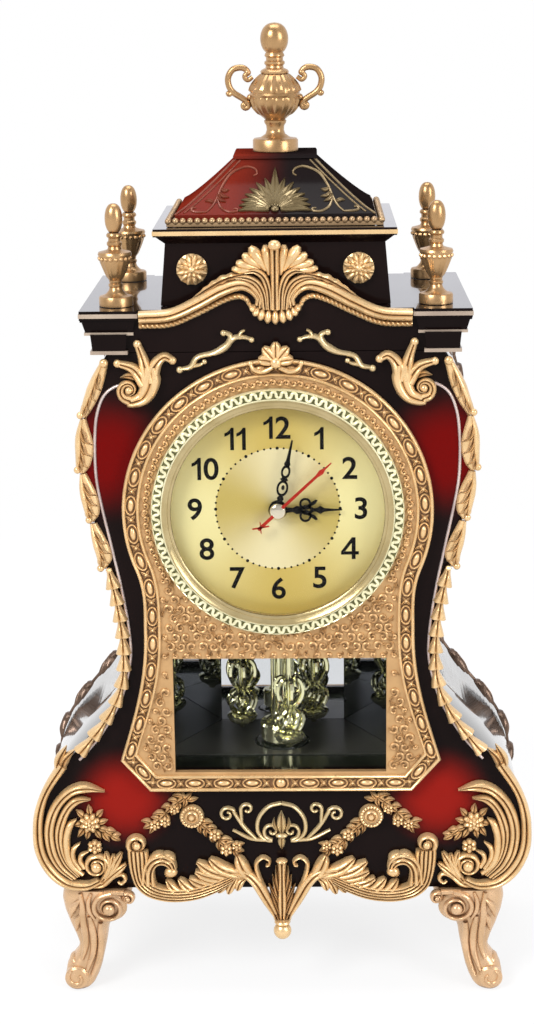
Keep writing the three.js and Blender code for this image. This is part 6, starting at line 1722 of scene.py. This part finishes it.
def urn_handle(label, side):
    form = Form()
    bow = HANDLE_ROUTE + spiral(13.8, 20.6, 2.0, 0.6, 100, 420, 8)
    spur = ((19.4, 27.0), (20.8, 25.6), (21.6, 25.8))
    for path, radius, steps, sides, ends in ((bow, 1.45, 120, 10, 0.7), (spur, 1.1, 14, 8, 1.0)):
        form.tube([Vector((side * x, 0, URN_FOOT + z)) for x, z in path], radius, steps, False, sides, ends)
    for x, z, radius in ((21.4, 26.0, 1.3), (13.8, 20.6, 1.3), (11.4, 24.2, 1.6), (12.4, 35.4, 1.6)):
        form.ball(side * x, 0, URN_FOOT + z, radius)
    form.dress("urn_handle_" + label, TOP_GILT)


FINIAL_FOOT = [(0, 0), (7.75, 0), (7.75, 3.6), (7.3, 4.3), (5.6, 4.6), (4.4, 5.4), (3.2, 6.8), (2.8, 8.2),
               (3.2, 8.8), (3.2, 9.6), (2.6, 10.2), (2.9, 10.8), (2.9, 11.6), (0, 11.6)]
FINIAL_LID = [(0, 22.2), (7.3, 22.2), (7.7, 23.2), (7.3, 24.2), (5.0, 24.8), (3.2, 25.4), (2.8, 26.6),
              (3.4, 27.4), (3.4, 28.4), (2.7, 29.2), (2.7, 30.4), (3.5, 31.2), (3.5, 32.0),
              (2.9, 32.8), (0, 32.8)]
FINIAL_BEADS = 18


def finial(place, label):
    node = "finial_" + place + "_" + label
    low, high = extent(node)
    x, y, z = (low.x + high.x) / 2, (low.y + high.y) / 2, low.z
    form = Form()
    form.lathe(FINIAL_FOOT, x, y, z, 40)
    cup = [(lerp(2.9, 7.4, (i / 8) ** 0.8), lerp(11.4, 22.6, i / 8)) for i in range(9)]
    form.lathe([(0, 11.4)] + cup + [(0, 22.6)], x, y, z, 72, flutes=(14, 0.07, 12.4, 20.4))
    form.lathe(FINIAL_LID, x, y, z, 40)
    for bead_x, bead_y in ring_points(x, y, 6.9, FINIAL_BEADS):
        form.ball(bead_x, bead_y, z + 21.4, 1.0, sides=8)
    form.lathe(egg_profile(4.05, 32.2, 46.0), x, y, z, 32)
    form.dress(node, TOP_GILT)


deck_lines()
attic_lines()
bead_rail()
roof()
roof_mounts()
urn()
for label, side in LEFT_RIGHT:
    urn_handle(label, side)
    for place in ("front", "rear"):
        finial(place, label)


# Feet: edges of the leg at heights over the ground, and its half depth

FOOT_OUTER = [(0.0, 101.6), (1.0, 104.0), (3.0, 106.0), (7.0, 107.2), (11.0, 106.4), (15.0, 103.6),
              (18.4, 100.8), (22.0, 100.2), (26.5, 101.6), (33.2, 104.1), (40.6, 106.5),
              (47.2, 107.6), (51.0, 107.0), (54.0, 105.6)]
FOOT_INNER = [(0.0, 97.0), (1.0, 94.6), (3.0, 92.6), (7.0, 90.6), (11.0, 89.2), (17.5, 87.7), (24.3, 86.3),
              (30.2, 85.4), (34.6, 84.0), (38.3, 80.0), (42.0, 77.4), (46.4, 75.4), (50.1, 73.2),
              (54.0, 73.0)]
FOOT_DEPTH = [(0.0, 5.4), (2.0, 7.6), (7.0, 8.6), (14.0, 8.0), (20.0, 7.2), (27.0, 8.2), (36.0, 10.6),
              (43.0, 12.6), (50.0, 13.4), (54.0, 13.2)]
FOOT_CENTRE = REAR - 10.0
TOE_LEAN, TOE_RISE = 4.0, 24.0
FOOT_LEVELS, FOOT_SIDES, FOOT_ROUNDING = 54, 48, 0.72
# Paths and widths of the ribs on the leg's face
FOOT_RIBS = (
    ([(97.8, 53.0), (97.0, 46.0), (97.2, 38.0), (96.6, 30.0), (96.6, 22.4), (98.6, 16.0)],
     [2.0, 3.4, 4.0, 4.0, 3.4, 2.0]),
    ([(93.8, 40.0), (93.0, 33.0), (92.6, 26.0), (93.2, 18.6), (96.0, 10.6)], [2.4, 4.0, 4.0, 3.4, 2.0]),
    ([(88.6, 36.0), (88.9, 30.0), (89.0, 23.0), (90.4, 15.4), (93.6, 8.0)], [2.6, 3.6, 3.6, 3.2, 2.0]),
    ([(102.8, 39.6), (101.6, 44.6), (98.0, 49.4)], [1.2, 3.8, 1.4]),
    ([(100.6, 31.6), (99.8, 37.0), (97.2, 42.2)], [1.2, 3.4, 1.4]),
    ([(92.4, 53.0), (93.8, 48.6), (93.6, 43.4), (91.4, 38.4)], [1.6, 2.8, 3.0, 1.8]),
)
FOOT_NECK = [(86.0, 53.0), (81.0, 53.2), (76.6, 52.9)]
# Eyes of the great and the small volute, and the half thickness of the discs behind them
GREAT_EYE, SMALL_EYE, DISC_HALF = (84.0, 44.6), (74.6, 50.0), 2.6
# Place of the toe's roll, and the half distance between its curls
TOE_X, TOE_Z, TOE_HALF = 101.0, 6.6, 9.0
TOE_PROFILE = [(0, -9.2), (5.0, -9.2), (6.0, -8.2), (6.0, 8.2), (5.0, 9.2), (0, 9.2)]


def at_height(table, z):
    for (a, low), (b, high) in zip(table, table[1:]):
        if z <= b:
            return lerp(low, high, (z - a) / (b - a))
    return table[-1][1]


def foot_centre(z):
    """Distance of the leg's middle from the clock's middle plane: the toe stands further out."""
    return FOOT_CENTRE + TOE_LEAN * max(0.0, 1 - z / TOE_RISE)


def foot(place, label, end, side):
    """Scrolled leg with a volute and ribs on its face, and a toe curled outwards."""
    node = "foot_" + place + "_" + label
    low, high = extent(node)
    height = high.z - low.z
    form = Form()
    rings = []
    for i in range(FOOT_LEVELS + 1):
        z = height * i / FOOT_LEVELS
        inner, outer = at_height(FOOT_INNER, z), at_height(FOOT_OUTER, z)
        x, half_x, half_y = (outer + inner) / 2, (outer - inner) / 2, at_height(FOOT_DEPTH, z)
        ring = []
        for c, s in ring_points(0, 0, 1, FOOT_SIDES):
            ring.append((side * (x + half_x * math.copysign(abs(c) ** FOOT_ROUNDING, c)),
                         end * (foot_centre(z) + half_y * math.copysign(abs(s) ** FOOT_ROUNDING, s)), z))
        rings.append(ring)
    form.loft(rings)

    def on_face(x, sunk, z):
        return (x, end * (foot_centre(z) + at_height(FOOT_DEPTH, min(max(z, 0.0), height)) - sunk), z)
    relief = Form(on_face)
    for path, widths in FOOT_RIBS:
        relief.strand(mirrored(side, path), widths, 1.9, steps=40, plane=0.4, cuts=7)
    relief.volute(side, *GREAT_EYE, 10.2, 100, -600, 3.0, 2.8, 0.4)
    relief.strand(mirrored(side, FOOT_NECK), [2.2, 2.4, 2.6], 2.0, plane=0.6)
    relief.volute(side, *SMALL_EYE, 4.2, 60, 420, 2.2, 2.6, 0.6)
    for (x, z), reach in ((GREAT_EYE, 8.6), (SMALL_EYE, 3.4)):
        relief.ball(side * x, DISC_HALF, z, reach, (1, DISC_HALF / reach, 1), 24)
    form.add(relief.points, relief.faces)
    toe = Form()
    toe.lathe(TOE_PROFILE, sides=32, facing=True)
    for face in (-1, 1):
        curl = Form(lambda x, sunk, z: (x, face * (TOE_HALF - sunk), z))
        curl.strand(spiral(0.2, 0.2, 4.6, 2.0, 60, -290), [1.0, 2.4, 2.2, 1.2], 1.2, plane=0.0)
        toe.add(curl.points, curl.faces)
    toe.ball(1.8, 0, 7.0, 2.6, (1, 2.2, 1))
    middle = end * foot_centre(6.4)
    form.add([(side * (TOE_X + x), middle + y, TOE_Z + z) for x, y, z in toe.points], toe.faces)
    form.dress(node, FOOT_GILT, "foot_gilt")


for label, side in LEFT_RIGHT:
    foot("front", label, -1, side)
    foot("rear", label, 1, side)


# Chamber

pendulum_low, pendulum_high = extent("pendulum")
PENDULUM_Y = -6.5
PENDULUM_REACH, PENDULUM_TURN = 21.0, 11.0
PENDANTS, BULB_RIBS, SCROLLS = 3, 8, 6
CHAMBER_FLOOR = extent("chamber_floor")[1].z - 1.2


def pendulum():
    """Fluted column on a cup, with three pendants under a head."""
    form = Form()
    foot = CHAMBER_FLOOR + 1.5
    top = pendulum_high.z
    form.lathe([
        (0, pendulum_low.z), (2, pendulum_low.z), (2, foot), (9.4, foot), (10.2, foot + 1.0),
        (10.8, foot + 8.4), (10.2, foot + 9.6), (8.2, foot + 9.8), (7.6, foot + 10.6),
        (6.6, foot + 11.4), (5.2, foot + 12.6), (0, foot + 12.6),
    ], 0, PENDULUM_Y, 0, 48)
    shaft = [(0, foot + 12), (4.8, foot + 12), (4.8, top - 8), (0, top - 8)]
    form.lathe(shaft, 0, PENDULUM_Y, 0, 72, flutes=(12, 0.12, foot + 12, top - 8))
    head = [(0, top - 8.4), (5.4, top - 8.2), (7, top - 6), (7, top - 1), (5.4, top), (0, top)]
    form.lathe(head, 0, PENDULUM_Y, 0, 40)
    for i in range(PENDANTS):
        angle = math.radians(PENDULUM_TURN - 90 + 360 / PENDANTS * i)
        arm = [Vector((reach * math.cos(angle), PENDULUM_Y + reach * math.sin(angle), top - drop))
               for reach, drop in ((5, 3.5), (14, 2.4), (PENDULUM_REACH, 4.4))]
        form.tube(arm, 1.4, 12)
        pendant(form, arm[-1].x, arm[-1].y, CHAMBER_FLOOR + 5, top - 4, angle)
    form.dress("pendulum", PLATED_GOLD, "plated_gold", "pendulum", 30)


PENDANT_CUP = [(0, 0), (1.4, 0.3), (2.0, 1.4), (3.2, 2.2), (5.6, 3.4), (7.0, 5.2), (7.2, 6.6), (6.4, 7.4),
               (4.0, 8.0), (0, 8.2)]
BULB_BARS = ((3.0, 7.8), (5.8, 10.4), (7.0, 13.8), (6.2, 17.2), (3.2, 19.6))
SCROLL_ARMS = ((1.6, 20.6), (4.8, 23.6), (7.0, 28.6), (6.4, 33.6), (4.0, 35.8), (2.4, 34.2), (3.2, 32.0))


def pendant(form, x, y, low, top, turn):
    """A cup, a pierced bulb and leaf scrolls on a rod."""
    def rod_point(radius, height, angle):
        return Vector((x + radius * math.cos(angle), y + radius * math.sin(angle), low + height))
    form.lathe(PENDANT_CUP, x, y, low, 48, flutes=(12, 0.06, 2.2, 6.8))
    for k in range(BULB_RIBS):
        angle = turn + TAU * k / BULB_RIBS
        form.tube([rod_point(r, h, angle + 0.08 * h) for r, h in BULB_BARS], 0.95, 14, sides=6)
    form.ball(x, y, low + 13.8, 3.8)
    form.lathe([(0, 19.2), (3.6, 19.4), (4.0, 20.4), (2.6, 21.4), (0, 21.4)], x, y, low, 24)
    for k in range(SCROLLS):
        angle = turn + TAU * k / SCROLLS
        form.tube([rod_point(r, h, angle) for r, h in SCROLL_ARMS], 1.25, 26, sides=6, ends=0.6)
    form.lathe([(0, 21), (1.6, 21), (1.6, top - low), (0, top - low)], x, y, low, 16)


# Inner faces of the mirror screen's three panes, and its lean towards the back
MIRROR_ROUTE = ((-60.5, -25.5), (-31.2, 22.5), (31.2, 22.5), (60.5, -25.5))
MIRROR_LEAN = math.tan(math.radians(4.6))
MIRROR_THICKNESS, MIRROR_BACKING = 1.0, 0.5
PLATFORM_FRONT = -25.0


def chamber():
    """Leaning mirror panes behind a grey platform round the turntable."""
    low, high = extent("mirror_screen")
    screen, backing = Form(), Form()
    layers = ((screen, 0.0, MIRROR_THICKNESS), (backing, MIRROR_THICKNESS + 0.02, MIRROR_BACKING))
    for form, near, thickness in layers:
        for a, b in zip(MIRROR_ROUTE, MIRROR_ROUTE[1:]):
            away = Vector((a[1] - b[1], b[0] - a[0])).normalized()
            a, b = Vector(a) + near * away, Vector(b) + near * away
            corners = (a, b, b + thickness * away, a + thickness * away)
            form.loft([[(p.x, p.y + MIRROR_LEAN * (z - low.z), z) for p in corners]
                       for z in (low.z, high.z)])
    screen.build("mirror_panes", MIRROR, "mirror_pane", replaces=["mirror_screen"])
    backing.build("mirror_backing", CHAMBER_GREY, "chamber_black")
    platform = Form(lambda x, z, y: (x, y, z))
    outline = [(-60.0, PLATFORM_FRONT), (60.0, PLATFORM_FRONT), (31.0, 22.2), (-31.0, 22.2)]
    platform.plate(outline, [circle(13.8, 48, PENDULUM_Y)], CHAMBER_FLOOR, CHAMBER_FLOOR + 0.6)
    platform.build("chamber_platform", CHAMBER_GREY, "chamber_black")


pendulum()
chamber()


# CAD nodes that show as they are

NODE_FINISHES = {
    DIAL: ("dial",),
    DECK: ("top_deck", "attic"),
    CHAMBER: ("chamber_floor",),
    GLASS: ("window_glass", "lens"),
    PLASTIC: ("back_cover", "rear_door", "movement_case", "movement_cover", "music_module",
              "pendulum_motor"),
    CONTROL: ("melody_button", "sound_switch"),
    NYLON: ("third_wheel", "centre_wheel", "motion_wheel", "setting_knob"),
    CELL: ("movement_cell", "music_cell_lower", "music_cell_upper"),
    CONE: ("speaker",),
}
for material, nodes in NODE_FINISHES.items():
    for node in nodes:
        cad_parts[node].data.materials.clear()
        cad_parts[node].data.materials.append(material)


# Stage, light and camera

FLOOR_HALF = 40.0
# The floor's greys for soft light, and its tone to the eye
FLOOR_GREYS, FLOOR_TONE = (0.56, 0.6), 0.96
# Share of white near the clock, and the distances in metres between which it grows to all
FLOOR_WHITE, WHITE_FROM, WHITE_BY = 0.8, 0.25, 1.1
WHITE, STUDIO_TINT, STUDIO_LEVEL = (1, 1, 1, 1), (0.95, 0.95, 1.0, 1), 0.6
# Mirrored light: from where to where it changes along Y and along Z, and its levels there
REAR_LIGHT, TOP_LIGHT = (-0.5, 0.35, 0.55, 1.0), (0.4, 0.95, 1.0, 0.5)
# Name, place, target, size and power of the lamps
LAMPS = (
    ("key", (-0.9, -1.2, 1.3), (0, 0, 0.22), (0.7, 0.7), 24),
    ("fill", (1.2, -1.0, 0.8), (0, 0, 0.22), (0.6, 0.8), 12),
    ("top", (0.0, 0.1, 1.6), (0, 0, 0.2), (1.0, 0.8), 10),
)


def ray_shares(graph):
    """One for rays from the camera, and one for rays from a mirror or through glass."""
    path = graph.add("ShaderNodeLightPath", {})
    return path["Is Camera Ray"], graph.calc("MAXIMUM", path["Is Glossy Ray"], path["Is Transmission Ray"])


def stage():
    """A floor that is white to the eye and in mirrors, and keeps a soft shadow round the clock."""
    mesh = bpy.data.meshes.new("floor")
    mesh.from_pydata([(x * FLOOR_HALF, y * FLOOR_HALF, 0) for x, y in SQUARE], [], [(0, 1, 2, 3)])
    floor = bpy.data.objects.new("floor", mesh)
    bpy.context.scene.collection.objects.link(floor)
    material, graph, shader = new_material("floor_white")
    seen = graph.calc("MAXIMUM", *ray_shares(graph))
    tone = graph.mix(seen, graph.mottled_grey(1.0, FLOOR_GREYS), (*grey(FLOOR_TONE), 1))
    graph.feed(shader, {"Base Color": tone, "Roughness": 0.9, "Specular IOR Level": 0.1})
    reach = graph.vector("LENGTH", graph.position())["Value"]
    share = graph.calc("MULTIPLY", seen, graph.fade(reach, WHITE_FROM, WHITE_BY, FLOOR_WHITE, 1.0))
    white = graph.add("ShaderNodeEmission", {"Color": WHITE, "Strength": 1.0})[0]
    surface = graph.add("ShaderNodeMixShader", {0: share, 1: shader.outputs[0], 2: white})[0]
    graph.feed(graph.nodes["Material Output"], {"Surface": surface})
    floor.data.materials.append(material)


def area_light(name, place, target, size, power):
    light = bpy.data.lights.new(name, "AREA")
    light.shape = "RECTANGLE"
    light.size, light.size_y = size
    light.energy = power
    lamp = bpy.data.objects.new(name, light)
    lamp.location = place
    lamp.rotation_euler = (Vector(target) - Vector(place)).to_track_quat("-Z", "Y").to_euler()
    bpy.context.scene.collection.objects.link(lamp)


def world_light():
    """Soft light all round; mirrored, it is white behind the clock and dim in front and above."""
    world = bpy.data.worlds.new("studio")
    bpy.context.scene.world = world
    graph = Graph(world)
    soft = graph.nodes["Background"]
    graph.feed(soft, {"Color": STUDIO_TINT, "Strength": STUDIO_LEVEL})
    way = graph.parts(graph.add("ShaderNodeTexCoord", {})["Generated"])
    rearward, upward = graph.fade(way["Y"], *REAR_LIGHT), graph.fade(way["Z"], *TOP_LIGHT)
    level = graph.calc("MULTIPLY", rearward, upward)
    seen, bent = ray_shares(graph)
    light = soft.outputs[0]
    for share, colour, strength in ((bent, STUDIO_TINT, level), (seen, WHITE, 1.0)):
        other = graph.add("ShaderNodeBackground", {"Color": colour, "Strength": strength})[0]
        light = graph.add("ShaderNodeMixShader", {0: share, 1: light, 2: other})[0]
    graph.feed(graph.nodes["World Output"], {"Surface": light})


# Place in millimetres, and turns in radians, fitted to the photograph
CAMERA_X, CAMERA_Y, CAMERA_Z = 16.85, -896.69 + FRONT, 483.96
CAMERA_DIP, CAMERA_YAW, CAMERA_ROLL = 0.2631, -0.0243, -0.0134
FOCAL_PIXELS = 2021.26
IMAGE_HEIGHT = 1024


def camera():
    level = math.cos(CAMERA_DIP)
    forward = Vector((math.sin(CAMERA_YAW) * level, math.cos(CAMERA_YAW) * level, -math.sin(CAMERA_DIP)))
    right = Vector((math.cos(CAMERA_YAW), -math.sin(CAMERA_YAW), 0))
    up = right.cross(forward)
    c, s = math.cos(CAMERA_ROLL), math.sin(CAMERA_ROLL)
    right, up = c * right + s * up, c * up - s * right
    data = bpy.data.cameras.new("camera")
    data.sensor_width = 36.0
    data.lens = FOCAL_PIXELS / IMAGE_HEIGHT * data.sensor_width
    data.clip_end = 50
    lens = bpy.data.objects.new("camera", data)
    turn = Matrix((right, up, -forward)).transposed()
    lens.matrix_world = Matrix.Translation(MM * Vector((CAMERA_X, CAMERA_Y, CAMERA_Z))) @ turn.to_4x4()
    bpy.context.scene.collection.objects.link(lens)
    bpy.context.scene.camera = lens


stage()
world_light()
for lamp in LAMPS:
    area_light(*lamp)
camera()
bpy.context.scene.view_settings.view_transform = "Standard"
